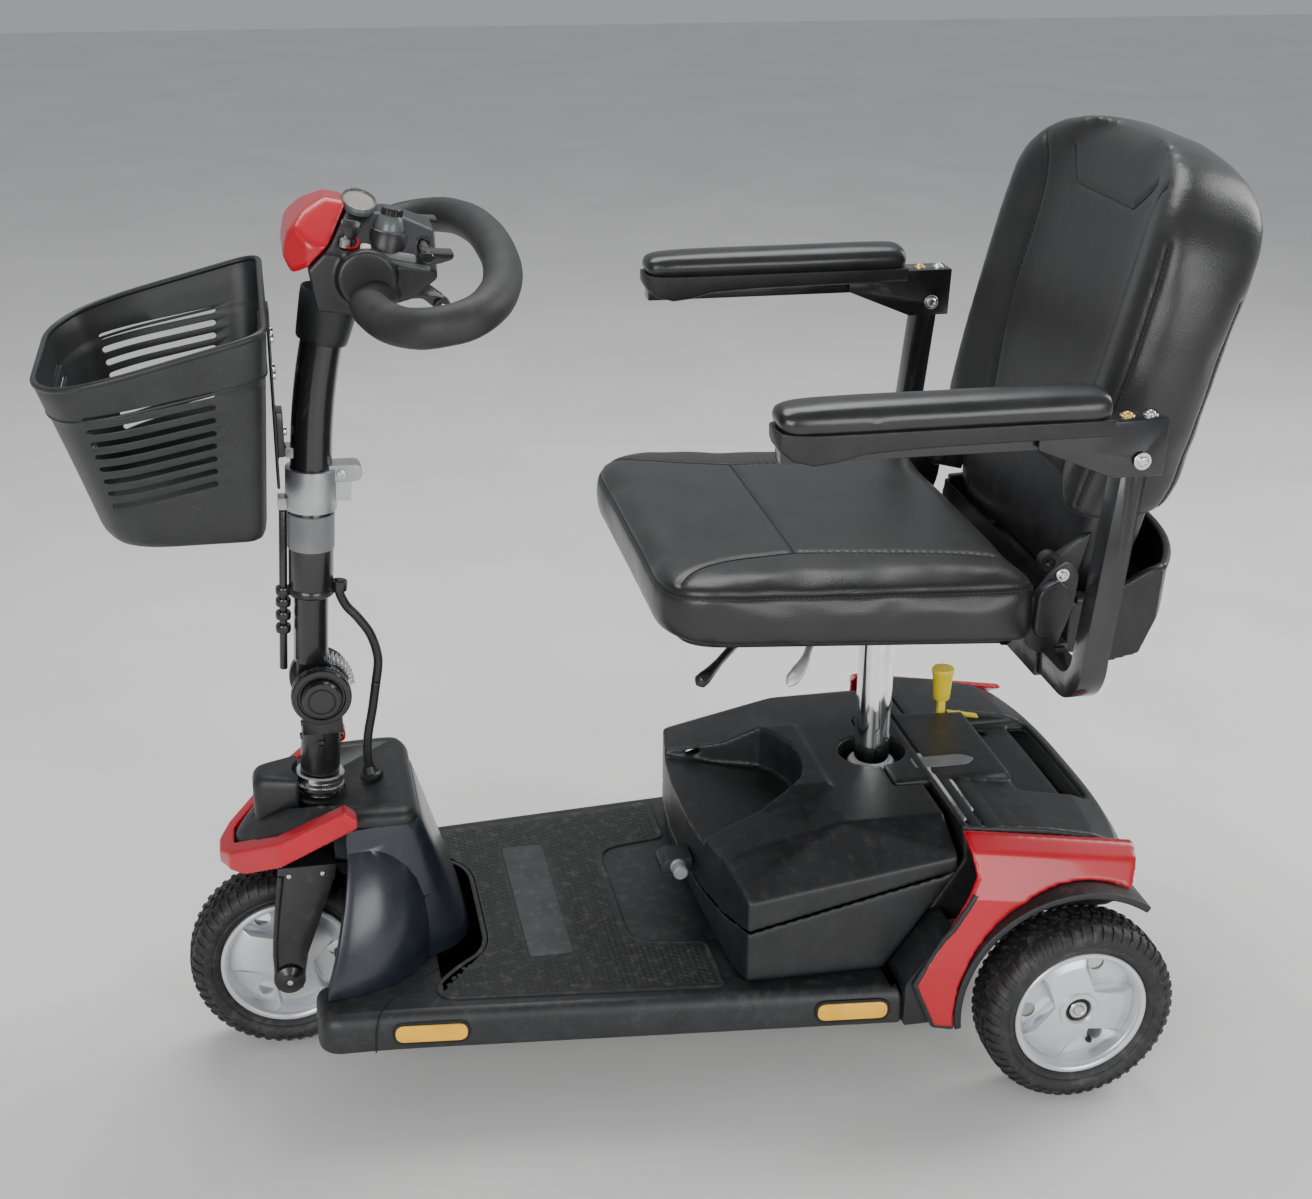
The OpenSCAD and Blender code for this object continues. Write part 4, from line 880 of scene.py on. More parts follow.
put(tube("upper_tube_smooth", [on_bend(k / 40) for k in range(41)], 20, 40), tube_black, "tiller",
    "upper_tube")
boot_top = on_bend(1)
boot_way = (on_bend(1) - on_bend(0.99)).normalized()
put(turned("boot_cone", [(20.1, -17.4), (23.8, -17.4), (24.6, -16), (25.2, -12), (27, 6), (28.4, 22),
                         (28.6, 30), (27.4, 31.4), (0, 31.4), (0, 20), (20.1, 20)], boot_top, boot_way, 56),
    body_plastic, "tiller", "head_boot")
cable_low = [(97, 305), (94, 318), (95, 345), (101, 376), (106, 406.5)]
cable_high = [(106, 406.5), (109, 432), (103, 458), (91, 478), (80, 492), (74, 508), (75.5, 520)]
for name, points, node, a, b in (("cable_foot", cable_low, "cable_lower", "chassis", "steer_stem"),
                                 ("cable_head", cable_high, "cable_upper", "steer_stem", "tiller")):
    path = curve_through([at(x, 0, z) for x, z in points], 8)
    cable = tube(name, path, 4.7, 14)
    cable.data.materials.append(cable_jacket)
    cable.data.shade_smooth()
    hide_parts(node)
    if a == "chassis":
        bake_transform(cable)
    else:
        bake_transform(cable)
put(turned("cable_grommet", [(5, -2), (12, -2), (12, 0.5), (10.6, 2), (8.4, 2.6), (7.4, 6), (6.2, 10),
                             (5, 10)], at(96.6, 0, 303), (-0.2, 0, 1), 32),
    cable_jacket, "chassis")
put(turned("cable_clip", [(5, -5), (7.6, -5), (8, -3), (8, 3), (7.6, 5), (5, 5)], at(74.6, 0, 514),
           (0.1, 0, 1), 28), lever_black, "tiller")

# ------------------------------------------------------------------ front shroud
def shroud_ring(z, front, wide, reach):
    """Plan of the side lobes at one height."""
    half = [(front, 0), (front, wide * 0.6)]
    half += [(front + reach * math.sin(a), 56 + (wide - 56) * math.cos(a))
             for a in (math.radians(t) for t in range(0, 91, 6))]
    half += [(front + reach, 20)]
    return [at(x, y, z) for x, y in both_halves(half)]


levels = [(131.6, 36, 150, 112), (150, 42, 146, 108), (175, 49, 139, 100), (200, 55, 129, 91),
          (222, 60, 118, 80), (240, 63, 108, 68), (254, 65, 98, 56), (262, 66, 92, 46)]
lobes = loft("lobes", [shroud_ring(*level) for level in levels])


def saddle_ring(z, front, half_front, rear, half_rear, radius):
    return [at(x, y, z) for x, y in filleted([(front, -half_front), (rear, -half_rear), (rear, half_rear),
                                              (front, half_front)],
                                            [4, radius, radius, 4], 6)]


saddle = loft("saddle", [saddle_ring(z, 64, hf, rear, hr, rad) for z, hf, rear, hr, rad in
                         ((131.6, 100, 190, 82, 60), (160, 99, 183, 80, 52), (200, 96, 170, 78, 44),
                          (240, 94, 157, 76, 36), (270, 92, 147, 75, 30), (285.6, 91, 141.6, 74, 28),
                          (287, 89, 140, 73, 27))])
lobes = carved(lobes, saddle, "UNION")
hollow = loft("hollow", [saddle_ring(z, 0, hw, rear, hr, rad) for z, hw, rear, hr, rad in
                         ((120, 138, 132, 118, 60), (160, 132, 130, 108, 60), (200, 118, 126, 98, 56),
                          (240, 96, 120, 88, 40), (262, 82, 112, 78, 30), (270, 76, 106, 70, 24))])
lobes = carved(lobes, hollow)
put(softened(lobes, 1.2, 2, 40), shroud_gloss, "chassis", "shroud_lower", sharp=38)

top_plan = filleted(both_halves([(-46, 10), (-20, 44), (20, 72), (62, 88), (139, 91)]),
                    [14, 16, 30, 30, 26, 26, 30, 30, 16, 14], 6)


def top_height(x):
    """Upper face of the nose: it rises from the tip to a level top."""
    stations = [(-46, 250), (8, 291), (40, 301), (60, 303), (128, 303), (142, 297)]
    for (x0, z0), (x1, z1) in zip(stations, stations[1:]):
        if x <= x1:
            return z0 + (z1 - z0) * (x - x0) / (x1 - x0)
    return stations[-1][1]


def under_height(x):
    stations = [(-46, 232), (0, 252), (30, 270), (62, 287.2), (142, 287.2)]
    for (x0, z0), (x1, z1) in zip(stations, stations[1:]):
        if x <= x1:
            return z0 + (z1 - z0) * (x - x0) / (x1 - x0)
    return stations[-1][1]


nose_rings = []
for by, share in ((4, 0), (0.6, 0.06), (0, 0.2), (0, 0.45), (2, 0.72), (6, 0.9), (12, 0.98), (20, 1.0)):
    nose_rings.append([at(x, y, under_height(x) + share * (top_height(x) - under_height(x)))
                       for x, y in inset(top_plan, by)])
nose = loft("nose", nose_rings)
nose = carved(nose, turned("neck_hole", [(0, 230), (27, 230), (27, 340), (0, 340)], steer_foot, steer_way,
                           48))
put(nose, body_plastic, "chassis", "shroud_upper", sharp=38)
put(turned("neck_lip", [(24, 286), (28.6, 286), (29.6, 288.5), (28.6, 291), (24, 291)], steer_foot,
           steer_way, 56), groove_dark, "chassis")
pod = loft("nose_pod", [[at(x, y, z)
                         for x, y in filleted(both_halves([(-24 + d, 18 - d * 0.6), (22, 33 - d * 0.5)]),
                                              [10, 6, 6, 10], 5)]
                        for d, z in ((0, 268), (0, 306), (1.5, 311), (4, 314.5), (8, 316.5))])
pod = carved(pod, turned("pod_hole", [(0, 230), (29, 230), (29, 340), (0, 340)], steer_foot, steer_way, 48))
put(softened(pod, 1.2, 2, 40), body_plastic, "chassis")
moulded("shroud_trim", red_gloss, 1.6, 10)
bolts("shroud_screw", "chassis", [((8, -74, 262), (0.1, -0.9, -0.4)), ((8, 74, 262), (0.1, 0.9, -0.4))],
      bare_steel, size=0.4)
polished("main_frame", frame_paint, 1.5, 2)
polished("head_bearings", bare_steel, 0.5)

# ------------------------------------------------------------------ deck
deck_plan = filleted([(24, -186), (90, -187), (606, -236), (606, 236), (90, 187), (24, 186)],
                     [26, 60, 8, 8, 60, 26], 8)
deck_rings = [[at(x, y, z) for x, y in inset(deck_plan, by)] for by, z in
              ((6, 90.2), (2.4, 91), (0.6, 93.4), (0, 97), (0.6, 116), (1.6, 121), (4, 126), (7.6, 129.4),
               (12, 131), (13, 131))]
deck = loft("deck", deck_rings)
deck = carved(deck, sheet_metal("well",
                                filleted([(-60, -124), (120, -124), (120, 124), (-60, 124)],
                                         [2, 40, 40, 2], 6), 60, 160))
put(softened(deck, 2.2, 3, 50), deck_plastic, "chassis", "deck_shell", sharp=40)


def groove(name, points, radius=0.9, body="chassis", steps=8):
    return put(tube(name, curve_through([at(*p) for p in points], steps), radius, 8), groove_dark, body)


for way, side in ((-1, "left"), (1, "right")):
    groove("deck_parting_" + side, [(79, way * 187.2, 91), (80, way * 187.4, 112), (82, way * 186, 124),
                                    (87, way * 176, 131), (101, way * 156, 131.2), (130, way * 128, 131.2),
                                    (160, way * 102, 131.2), (188, way * 84, 131.2)])
mat_half = [(200, 84), (166, 112), (139, 146), (150, 170), (430, 199), (430, 112), (352, 98)]
mat_plan = filleted(both_halves(mat_half), [30, 20, 16, 14, 12, 10, 26, 26, 10, 12, 14, 16, 20, 30], 6)
mat = loft("foot_mat", [[at(x, y, z) for x, y in inset(mat_plan, by)]
                        for by, z in ((0, 130.6), (0, 132.6), (1.2, 133.4), (4, 133.4), (5, 132.6),
                                      (6.2, 132.6))])
put(mat, mat_rubber, "chassis", "deck_mat", sharp=40)
pad = sheet_metal("mat_pad", filleted([(243, -110), (289, -110), (289, 118), (243, 118)], 6, 4), 132.4,
                  134, 0.8, 2)
put(pad, mat_pad_grey, "chassis")
scale_shape = loft("scale_shape",
                   [[Vector((math.cos(a) * rx, math.sin(a) * ry, z))
                     for a in (math.tau * k / 8 for k in range(8))]
                                   for rx, ry, z in ((0.0027, 0.0036, -0.0004), (0.0024, 0.0033, 0.0005),
                                                     (0.0012, 0.002, 0.0009))])
mat_spots, mat_turns = [], []
inner = inset(mat_plan, 9)


def within(x, y, outline):
    """Whether a point lies inside a closed outline."""
    hit = False
    for (x0, y0), (x1, y1) in zip(outline, outline[1:] + outline[:1]):
        if (y0 > y) != (y1 > y) and x < (x1 - x0) * (y - y0) / (y1 - y0) + x0:
            hit = not hit
    return hit


for row in range(50):
    for col in range(56):
        x, y = 132 + row * 6.1, -206 + col * 7.6 + (3.8 if row % 2 else 0)
        if within(x, y, inner) and not (238 < x < 294 and -116 < y < 124):
            mat_spots.append(at(x, y, 132.6))
            mat_turns.append((0, 0, 0.5 if (row // 2) % 2 else -0.5))
grown("mat_scales", SCATTER, "chassis", mat_rubber, mat_spots, mat_turns, Shape=scale_shape, Size=1.0)
bpy.data.objects.remove(scale_shape)
slope = math.atan(50 / 516)
for way, side in ((-1, "left"), (1, "right")):
    for n, x in enumerate((108, 527)):
        y = 186 + max(0, x - 90) * 50 / 516
        pill = filleted([(-10, 10), (62, 10), (62, -10), (-10, -10)], 9.9, 8)
        turn = Matrix.Translation(at(x, way * y, 110)) @ Matrix.Rotation(way * slope, 4, "Z")
        for name, by, y0, y1, look, edge in (("frame", -2.6, -0.5, 1.9, groove_dark, 0.8),
                                             ("lens", 0.4, 0.2, 3.1, reflector, 1.4)):
            ring = inset(pill, by)
            thing = loft(f"reflector_{name}_{side}_{n}",
                         [[Vector((a / 1000, way * y_at / 1000, b / 1000)) for a, b in ring]
                          for y_at in (y0, y1)])
            softened(thing, edge, 3)
            moved(thing, turn)
            put(thing, look, "chassis", *(["side_reflectors"] if (name, side, n) == ("lens", "left", 0)
                                          else []))

# ------------------------------------------------------------------ battery pack
moulded("battery_box", body_plastic, 2.6, 9)
polished("battery_cells", battery_case, 2.0)


def lid_with_grip():
    """The battery lid with its hand hold: a valley that runs in under a raised hood."""
    thing = bpy.data.objects.new("lid", frame["nodes"]["battery_lid"].data.copy())
    bpy.context.scene.collection.objects.link(thing)
    cleaned(thing.data, 2e-5)
    plug = loft("plug", [[at(x, y, z) for x, y in ((424, -60), (427, -92), (432, -103), (562, -99),
                                                   (562, 99), (432, 103), (427, 92), (424, 60))]
                         for z in (229, 245.6)])
    roof = loft("roof", [[at(*p) for p in ring] for ring in (
        [(438, -100, 232), (531, -160, 232), (572, -78, 232), (572, 78, 232), (531, 160, 232),
         (438, 100, 232)],
        [(448, -94, 240), (531, -159, 269.5), (570, -73, 281.6), (570, 73, 281.6), (531, 159, 269.5),
         (448, 94, 240)],
        [(452, -92, 243), (527, -110, 276), (568, -71, 282), (568, 71, 282), (527, 110, 276),
         (452, 92, 243)],
        [(453, -91, 244), (527, -70.5, 284), (566, -70, 284), (566, 70, 284), (527, 70.5, 284),
         (453, 91, 244)])])
    carved(thing, plug, "UNION")
    carved(thing, roof, "UNION")
    valley = both_halves([(415, 103), (436, 98), (452, 91), (527, 69), (541, 52), (550, 28), (553, 8)])
    cutter = loft("valley", [[at(x, y, floor_of(x)) for x, y in valley]
                             for floor_of in (lambda x: 244.5 - 9 * min(1, max(0, (x - 422) / 40)),
                                              lambda x: 340)])
    carved(thing, cutter)
    skin = thing.modifiers.new("skin", "REMESH")
    skin.mode, skin.voxel_size = "VOXEL", 0.0022
    roll = thing.modifiers.new("roll", "SMOOTH")
    roll.factor, roll.iterations = 0.5, 5
    return settled(thing)


put(lid_with_grip(), body_plastic, "chassis", "battery_lid", sharp=60)
put(turned("post_ring", [(19.3, 0.4), (24.6, 0.4), (25.8, 1.8), (25.8, 5.6), (24.4, 7.6), (22, 8.3),
                         (19.3, 8.3)], at(post_x, 0, 262), (0, 0, 1), 56),
    ring_white, "chassis", "post_collar")
latch = slab("latch_arm", filleted([(387, 196), (420.6, 196), (420.6, 212), (394, 212), (387, 206)],
                                   [3, 1, 1, 3, 4], 4), -76, -46, 1.6, 3)
put(latch, deck_plastic, "chassis", "frame_latch")
put(turned("latch_knob", [(0, -93), (6.2, -93), (7.8, -91.4), (8, -84), (7, -82.6), (7, -80),
                          (8.4, -78.8), (8.4, -76), (0, -76)], at(405, 0, 204), (0, 1, 0), 36),
    latch_grey, "chassis")

# ------------------------------------------------------------------ rear body


def rounded_tail(p):
    """Draws the cover's rear corners in, so that its rear edge runs in an arc."""
    back = max(0.0, (p.x - at(rear_x - 20, 0, 0).x) / 0.118)
    return Vector((p.x - 0.024 * min(back, 1) * abs(p.y / 0.186) ** 3, p.y, p.z))


moulded("rear_cover", body_plastic, 2.6, 7, rounded_tail)
for fender in ("fender_left", "fender_right"):
    moulded(fender, red_gloss, 2.0, 16)
for way, side in ((-1, "left"), (1, "right")):
    front_edge = [(657, 86.5), (633, 93), (611.5, 141), (674, 238)]
    skin = bpy.data.objects["fender_" + side + "_moulded"]
    edging = laid_on(skin, [at(x, way * 246, z) for x, z in front_edge], 1)
    path = []
    for (p, _), (q, _) in zip(edging, edging[1:]):
        path += [laid_on(skin, [p.lerp(q, t / 8), p.lerp(q, t / 8)], 1)[0][0] for t in range(8)]
    path.append(edging[-1][0])
    put(tube("panel_edging_" + side, path, 3.0, 10), body_plastic, "chassis")
    skirt = slab("arch_front_" + side,
                 filleted([(604, 92), (646, 92), (653, 130), (654, 196), (641, 189), (604, 139)], 3, 3),
                 *sorted((way * 150, way * 241)), 3, 3)
    put(skirt, body_plastic, "chassis")
polished("wheel_arches", deck_plastic, 1.8, 3, 0.5)
polished("rear_frame", frame_paint, 1.5)
polished("drive_unit", drive_metal, 2.0)
lever = turned("freewheel_knob",
               [(0, 0), (8.4, 0), (9.4, 1.4), (9.8, 10), (11.4, 28), (12.6, 33), (12.8, 36), (11.8, 38),
                (9, 38.6), (0, 38.6)],
               at(741, 80, 296), (0, 0, 1), 28)
stem = slab("freewheel_stem", filleted([(735.5, 202), (746.5, 202), (745, 298), (737, 298)], 2, 3), 76.5,
            83.5, 1.2, 2)
put(joined("freewheel_handle", lever, stem), lever_yellow, "freewheel", "freewheel_lever")
put(slab("freewheel_plate", filleted([(752, 275.5), (789, 267.5), (789, 264.5), (752, 271.5)], 1, 2),
         85.2, 93.2, 0.6, 2), lever_yellow, "chassis")
put(sheet_metal("cover_label", filleted([(668, -54), (726, -54), (738, -42), (726, -30), (668, -30)], 5,
                                        4), 282.0, 282.6, 0.25, 2), panel_grey, "chassis")

# ------------------------------------------------------------------ seat
polished("seat_post", post_chrome, 0.6)
polished("seat_frame", frame_paint, 1.2)
polished("arm_supports", tube_black, 2.2, 3)


def stuffed(thing, cell, cap, pressure=4.0, keep=None):
    """Blows a pad up as a cloth skin held close to its shape, and keeps the result as its mesh."""
    skin = thing.modifiers.new("skin", "REMESH")
    skin.mode, skin.voxel_size = "VOXEL", cell / 1000
    settled(thing)
    rest = [v.co.copy() for v in thing.data.vertices]
    cloth = thing.modifiers.new("cloth", "CLOTH")
    cloth.settings.quality = 5
    cloth.settings.mass = 0.3
    cloth.settings.tension_stiffness = cloth.settings.compression_stiffness = 15
    cloth.settings.shear_stiffness, cloth.settings.bending_stiffness = 5, 0.5
    cloth.settings.use_pressure = True
    cloth.settings.uniform_pressure_force = pressure
    cloth.settings.effector_weights.gravity = 0
    cloth.collision_settings.use_collision = False
    cloth.point_cache.frame_start, cloth.point_cache.frame_end = 1, 20
    for step in range(1, 21):
        bpy.context.scene.frame_set(step)
    shape = thing.evaluated_get(bpy.context.evaluated_depsgraph_get())
    swollen = [v.co.copy() for v in shape.data.vertices]
    thing.modifiers.clear()
    for vertex, old, new in zip(thing.data.vertices, rest, swollen):
        shift = new - old
        if shift.length > cap / 1000:
            shift = shift.normalized() * cap / 1000
        if keep:
            shift *= keep(old)
        vertex.co = old + shift
    bpy.context.scene.frame_set(1)
    calm = thing.modifiers.new("calm", "SMOOTH")
    calm.factor, calm.iterations = 0.5, 26
    fine = thing.modifiers.new("fine", "SUBSURF")
    fine.levels = fine.render_levels = 1
    return settled(thing)


def seamed(thing, name, body, lines):
    """Sews lines into a stuffed skin: a pulled-in valley, a dark cord down it and stitches beside it."""
    drops = []
    for points, looped, depth, width, beside in lines:
        drops.append((laid_on(thing, points, 8, looped, 6), looped, depth, width, beside))
    spots = [(p, depth, width) for line, _, depth, width, _ in drops for p, _ in line]
    tree = KDTree(len(spots))
    for n, (p, _, _) in enumerate(spots):
        tree.insert(p, n)
    tree.balance()
    for vertex, normal in zip(thing.data.vertices, [v.normal.copy() for v in thing.data.vertices]):
        _, n, far = tree.find(vertex.co)
        depth, width = spots[n][1:]
        if far < width * 3 / 1000:
            vertex.co -= normal * (depth / 1000) * math.exp(-(far * 1000 / width) ** 2)
    for n, (line, looped, depth, width, beside) in enumerate(drops):
        cord = [p - normal * (depth - 0.25) / 1000 for p, normal in line]
        put(tube(f"{name}_{n}", cord, 0.7, 8, looped), groove_dark, body)
        for m, aside in enumerate(beside):
            spots, turns, gone = [], [], 0.0
            sink = depth * math.exp(-(aside / width) ** 2) - 0.12
            for (p, normal), (q, _) in zip(line, line[1:] + (line[:1] if looped else [])):
                way = q - p
                if way.length < 1e-7:
                    continue
                side = way.cross(normal).normalized()
                while gone < way.length:
                    spots.append(p + way * (gone / way.length) + side * aside / 1000 - normal * sink / 1000)
                    turns.append(facing(way))
                    gone += 0.0052
                gone -= way.length
            grown(f"{name}_{n}_stitches_{m}", SCATTER, body, thread_dark, spots, turns,
                  Shape=stitch_shape, Size=1.0)


# cushion
def pan(x):
    """Height of the seat pan, which slopes down to the rear."""
    return seat_z - 0.062 * (x - post_x)


cushion_plan = filleted([(353, -214), (731, -214), (731, 214), (353, 214)], [74, 26, 26, 74], 12)
cushion_rings = []
for by, share in ((24, 0.0), (12, 0.015), (6, 0.08), (3.5, 0.3), (2, 0.6), (2.5, 0.8), (5, 0.905),
                  (10, 0.95), (22, 0.972), (50, 0.985), (95, 1.0)):
    cushion_rings.append([at(x, y, pan(x) + 1.5 + share * (62 + 8 * (x - 353) / 378) - 5 * max(0,
        1 - (x - 353) / 60) * share) for x, y in inset(cushion_plan, by)])
cushion = stuffed(loft("seat_cushion_pad", cushion_rings), 4.6, 5.5, 3.0,
                  lambda p: min(1.0, max(0.0, p.z * 1000 - pan(post_x) - 6) / 30))
top_z = lambda x: pan(x) + 66 + 8 * (x - 353) / 378
seam_lines = []
for way in (-1, 1):
    seam_lines.append([at(x, way * y, top_z(x)) for x, y in ((376, 184), (400, 164), (436, 148),
                                                             (470, 140), (502, 134))])
    seam_lines.append([at(x, way * y, top_z(x)) for x, y in ((502, 134), (560, 138), (620, 143),
                                                             (680, 152), (726, 166))])
seam_lines.append([at(502, y, top_z(502)) for y in (-134, -90, -40, 0, 40, 90, 134)])
border = even([at(x, y, pan(x) + 57 + 8 * (x - 353) / 378 - 5 * max(0, 1 - (x - 353) / 60))
               for x, y in inset(cushion_plan, 3)], 24, True)
seamed(cushion, "cushion_seam", "seat",
       [(line, False, 1.9, 4.2, ()) for line in seam_lines] + [(border, True, 1.5, 3.6, (3.4,))])
put(cushion, seat_vinyl, "seat", "seat_cushion", sharp=80)
skirt = [[at(x, y, pan(x) + z) for x, y in inset(cushion_plan, by)]
         for by, z in ((34, -5), (28, -4.6), (26, 0), (27, 2.4), (36, 2.4))]
put(softened(loft("cushion_base", skirt), 0.8, 2, 45), seat_plastic, "seat")
for way, side in ((-1, "left"), (1, "right")):
    plate = slab("hinge_plate_" + side,
                 filleted([(716, 486), (716, 530), (738, 560), (756, 572), (766, 556), (762, 520),
                           (748, 480), (734, 474)], 8, 4),
                 *sorted((way * 196, way * 202)), 1.4, 2)
    put(plate, seat_plastic, "seat")
    cover = slab("hinge_cover_" + side,
                 filleted([(720, 500), (722, 545), (742, 556), (756, 540), (752, 506), (736, 494)], 9, 4),
                 *sorted((way * 202, way * 213)), 4, 4)
    put(cover, seat_plastic, "seat")
    bolts("hinge_bolt_" + side, "seat", [((748, way * 203, 557), (0, way, 0))], bare_steel, washer_bolt,
          0.7)

# seat shell: a bowl with a rolled lip under the back


def bowl_plan(p):
    """Rounds the bowl in plan towards its rear corners."""
    reach = min(1.0, max(0.0, (p.x - at(790, 0, 0).x) / 0.121))
    return Vector((p.x - 0.052 * reach * min(1, abs(p.y) / 0.188) ** 2.6, p.y, p.z))


moulded("seat_shell", seat_plastic, 2.0, 5, bowl_plan)
lip_path = curve_through([at(772, -186, 522), at(800, -187.5, 524), at(846, -187.5, 536),
                          at(880, -187, 546), at(902, -182, 549), at(907, -160, 549), at(908, 0, 549),
                          at(907, 160, 549), at(902, 182, 549), at(880, 187, 546), at(846, 187.5, 536),
                          at(800, 187.5, 524), at(772, 186, 522)], 8)
put(tube("shell_lip", [bowl_plan(p) for p in lip_path], 4.2, 14), seat_plastic, "seat")

# back
tilt = Matrix.Translation(at(hinge_x, 0, hinge_z)) @ Matrix.Rotation(recline, 4, "Y")


def on_back(u, y, w):
    """A place on the reclined back: u behind its hinge line, w up along it."""
    return tilt @ Vector((u / 1000, y / 1000, w / 1000))


back_section = [(21, 0), (20, 60), (17, 108), (8, 138), (-3, 166), (-8, 184), (-5, 198), (12, 206),
                (42, 208), (70, 207), (88, 200), (97, 180), (99, 120), (99, 0)]
back_levels = [(52, 190), (62, 194), (100, 199), (150, 204), (200, 207), (250, 207), (300, 205),
               (330, 200), (354, 190), (374, 172), (390, 146), (401, 112), (407, 80), (411, 50)]
back_rings = []
half_section = curve_through([Vector(p) for p in back_section], 4)
whole = [tuple(p) for p in half_section] + [(p[0], -p[1]) for p in half_section[::-1]][1:-1]
for w, half in back_levels:
    top = max(0.0, (w - 330) / 80)
    squeeze = 1 - 0.42 * top ** 2.2
    slant = 0.0 if w > 110 else (110 - w) / 110
    ring = []
    for u, y in whole:
        mid = 42
        deep = u if u < mid else mid + (u - mid) * (1 - 0.25 * slant)
        deep = mid + (deep - mid) * squeeze + 6 * top
        lift = 46 * slant * max(0, (u - 20) / 80)
        ring.append(on_back(deep, y * half / 206, w + lift))
    back_rings.append(ring)
back = stuffed(loft("seat_back_pad", back_rings), 4.7, 4.5, 2.5)
back_seams = []
for way in (-1, 1):
    back_seams.append([on_back(18, way * y, w) for y, w in ((148, 362), (140, 350), (129, 318),
                                                            (127, 262), (128, 206), (119, 152),
                                                            (107, 104), (99, 62))])
    back_seams.append([on_back(u, way * y, w) for u, y, w in ((25, 104, 366), (23, 90, 350),
                                                              (21, 69, 333))])
back_seams.append([on_back(21, y, 333) for y in (-69, -35, 0, 35, 69)])


def along_back(index, way, first, last):
    """Follows one station of the back's section from ring to ring."""
    station = 4 * index
    picked = [ring[station if way > 0 else len(ring) - station] for ring in back_rings[first:last]]
    return even(curve_through(picked, 8), 26)


side_seams = [along_back(index, way, 1, last) for index, last in ((6, 8), (10, 7)) for way in (-1, 1)]
seamed(back, "back_seam", "backrest", [(line, False, 1.8, 4.2, ()) for line in back_seams]
       + [(line, False, 1.5, 3.8, (2.8, -2.8) if n < 2 else (2.8,)) for n, line in enumerate(side_seams)])
put(back, seat_vinyl, "backrest", "seat_back", sharp=80)
neck_half = curve_through([Vector(p) for p in ((20, 0), (19, 100), (22, 150), (34, 170), (56, 172),
                                               (78, 166), (90, 140), (93, 0))], 5)
neck_ring = [tuple(p) for p in neck_half] + [(p[0], -p[1]) for p in neck_half[::-1]][1:-1]
neck_rings = []
for w, half, deep in ((-30, 0.86, 0.55), (-24, 0.9, 0.72), (-8, 0.94, 0.9), (10, 0.97, 0.98), (40, 1, 1),
                      (70, 1, 1), (96, 0.99, 0.98)):
    neck_rings.append([on_back(56 + (u - 56) * deep, y * half, w) for u, y in neck_ring])
put(loft("back_neck", neck_rings), seat_plastic, "backrest")
for way, side in ((-1, "left"), (1, "right")):
    barrel = turned("back_lug_" + side,
                    [(5.2, 160 * way), (9.6, 160 * way), (10.8, 161.5 * way), (10.8, 170.5 * way),
                     (9.6, 172 * way), (5.2, 172 * way)],
                    at(hinge_x, 0, hinge_z), (0, 1, 0), 36)
    arm = loft("lug_arm", [[on_back(u, way * y, w) for u, w in ((2, -10), (32, -10), (32, 38), (6, 9))]
                           for y in (161, 171)])
    put(joined("back_lug_" + side + "_whole", barrel, softened(arm, 1.5, 2)), seat_plastic, "backrest")

# ------------------------------------------------------------------ armrests
arm_y = 288


def arm_ring(half, low, high):
    """A rounded-top, flat-bottomed section of the pad."""
    middle = (low + high) / 2
    return filleted([(-half * 0.94, low), (half * 0.94, low), (half, middle), (half * 0.86, high - 3),
                     (0, high), (-half * 0.86, high - 3), (-half, middle)],
                    [4, 4, 8, 12, 10, 12, 8], 4)


for way, side in ((-1, "left"), (1, "right")):
    polished("arm_bracket_" + side, tube_black, 1.6, 3)
    stations = [(434.8, 15, 751, 762), (437, 20, 747.5, 765.5), (442, 23.5, 744.6, 767.5),
                (452, 26, 742.6, 769), (470, 27.4, 742.0, 770), (520, 27.6, 741.8, 770.4),
                (600, 27.2, 741.8, 770.6), (680, 27.2, 741.8, 771), (722, 27.4, 741.8, 771),
                (732, 26.4, 742.2, 770), (735.6, 23.6, 744, 767)]
    rings = [[at(x, way * arm_y + y * (1 if way > 0 else -1), z) for y, z in arm_ring(half, low, high)]
             for x, half, low, high in stations]
    arm = stuffed(loft("arm_pad_soft_" + side, rings), 3.5, 1.2, 1.0)
    put(arm, arm_vinyl, "armrest_" + side, "arm_pad_" + side, sharp=70)
    tray_rings = []
    for x, half, low, high in ((434.6, 12, 736, 748), (438, 19, 730, 747), (448, 23, 722, 746.5),
                               (466, 25.6, 717.6, 746), (486, 26.4, 720, 746), (510, 26.6, 726, 746),
                               (560, 26.6, 728.6, 746), (640, 26.6, 729.6, 746), (735, 26.6, 730, 746)):
        tray_rings.append([at(x, way * arm_y + y, z)
                           for y, z in filleted([(-half, high), (half, high), (half - 1.5, low),
                                                 (-half + 1.5, low)], [1.5, 1.5, 4, 4], 3)])
    tray = softened(loft("arm_tray_" + side, tray_rings), 0.8, 2, 40)
    put(tray, seat_plastic, "armrest_" + side)
    bolts("arm_pivot_bolts_" + side, "armrest_" + side,
          [((766, way * 308.6, 705), (0, way, 0)), ((766, way * 267.4, 705), (0, -way, 0))], bare_steel,
          washer_bolt, 0.86)
    bolts("arm_top_bolts_" + side, "armrest_" + side, [((757, way * arm_y, 741.2), (0, 0, 1))],
          brass_steel, washer_bolt, 0.72)
    bolts("arm_top_bolts_rear_" + side, "armrest_" + side, [((779, way * arm_y, 741.2), (0, 0, 1))],
          bare_steel, washer_bolt, 0.72)
    stop = turned("arm_stop_" + side, [(0, -20), (3.8, -20), (3.8, -6), (6, -5), (6, 0), (0, 0)],
                  at(733, way * arm_y, 716), (0.55, 0, 0.84), 20)
    put(stop, bare_steel, "armrest_" + side)

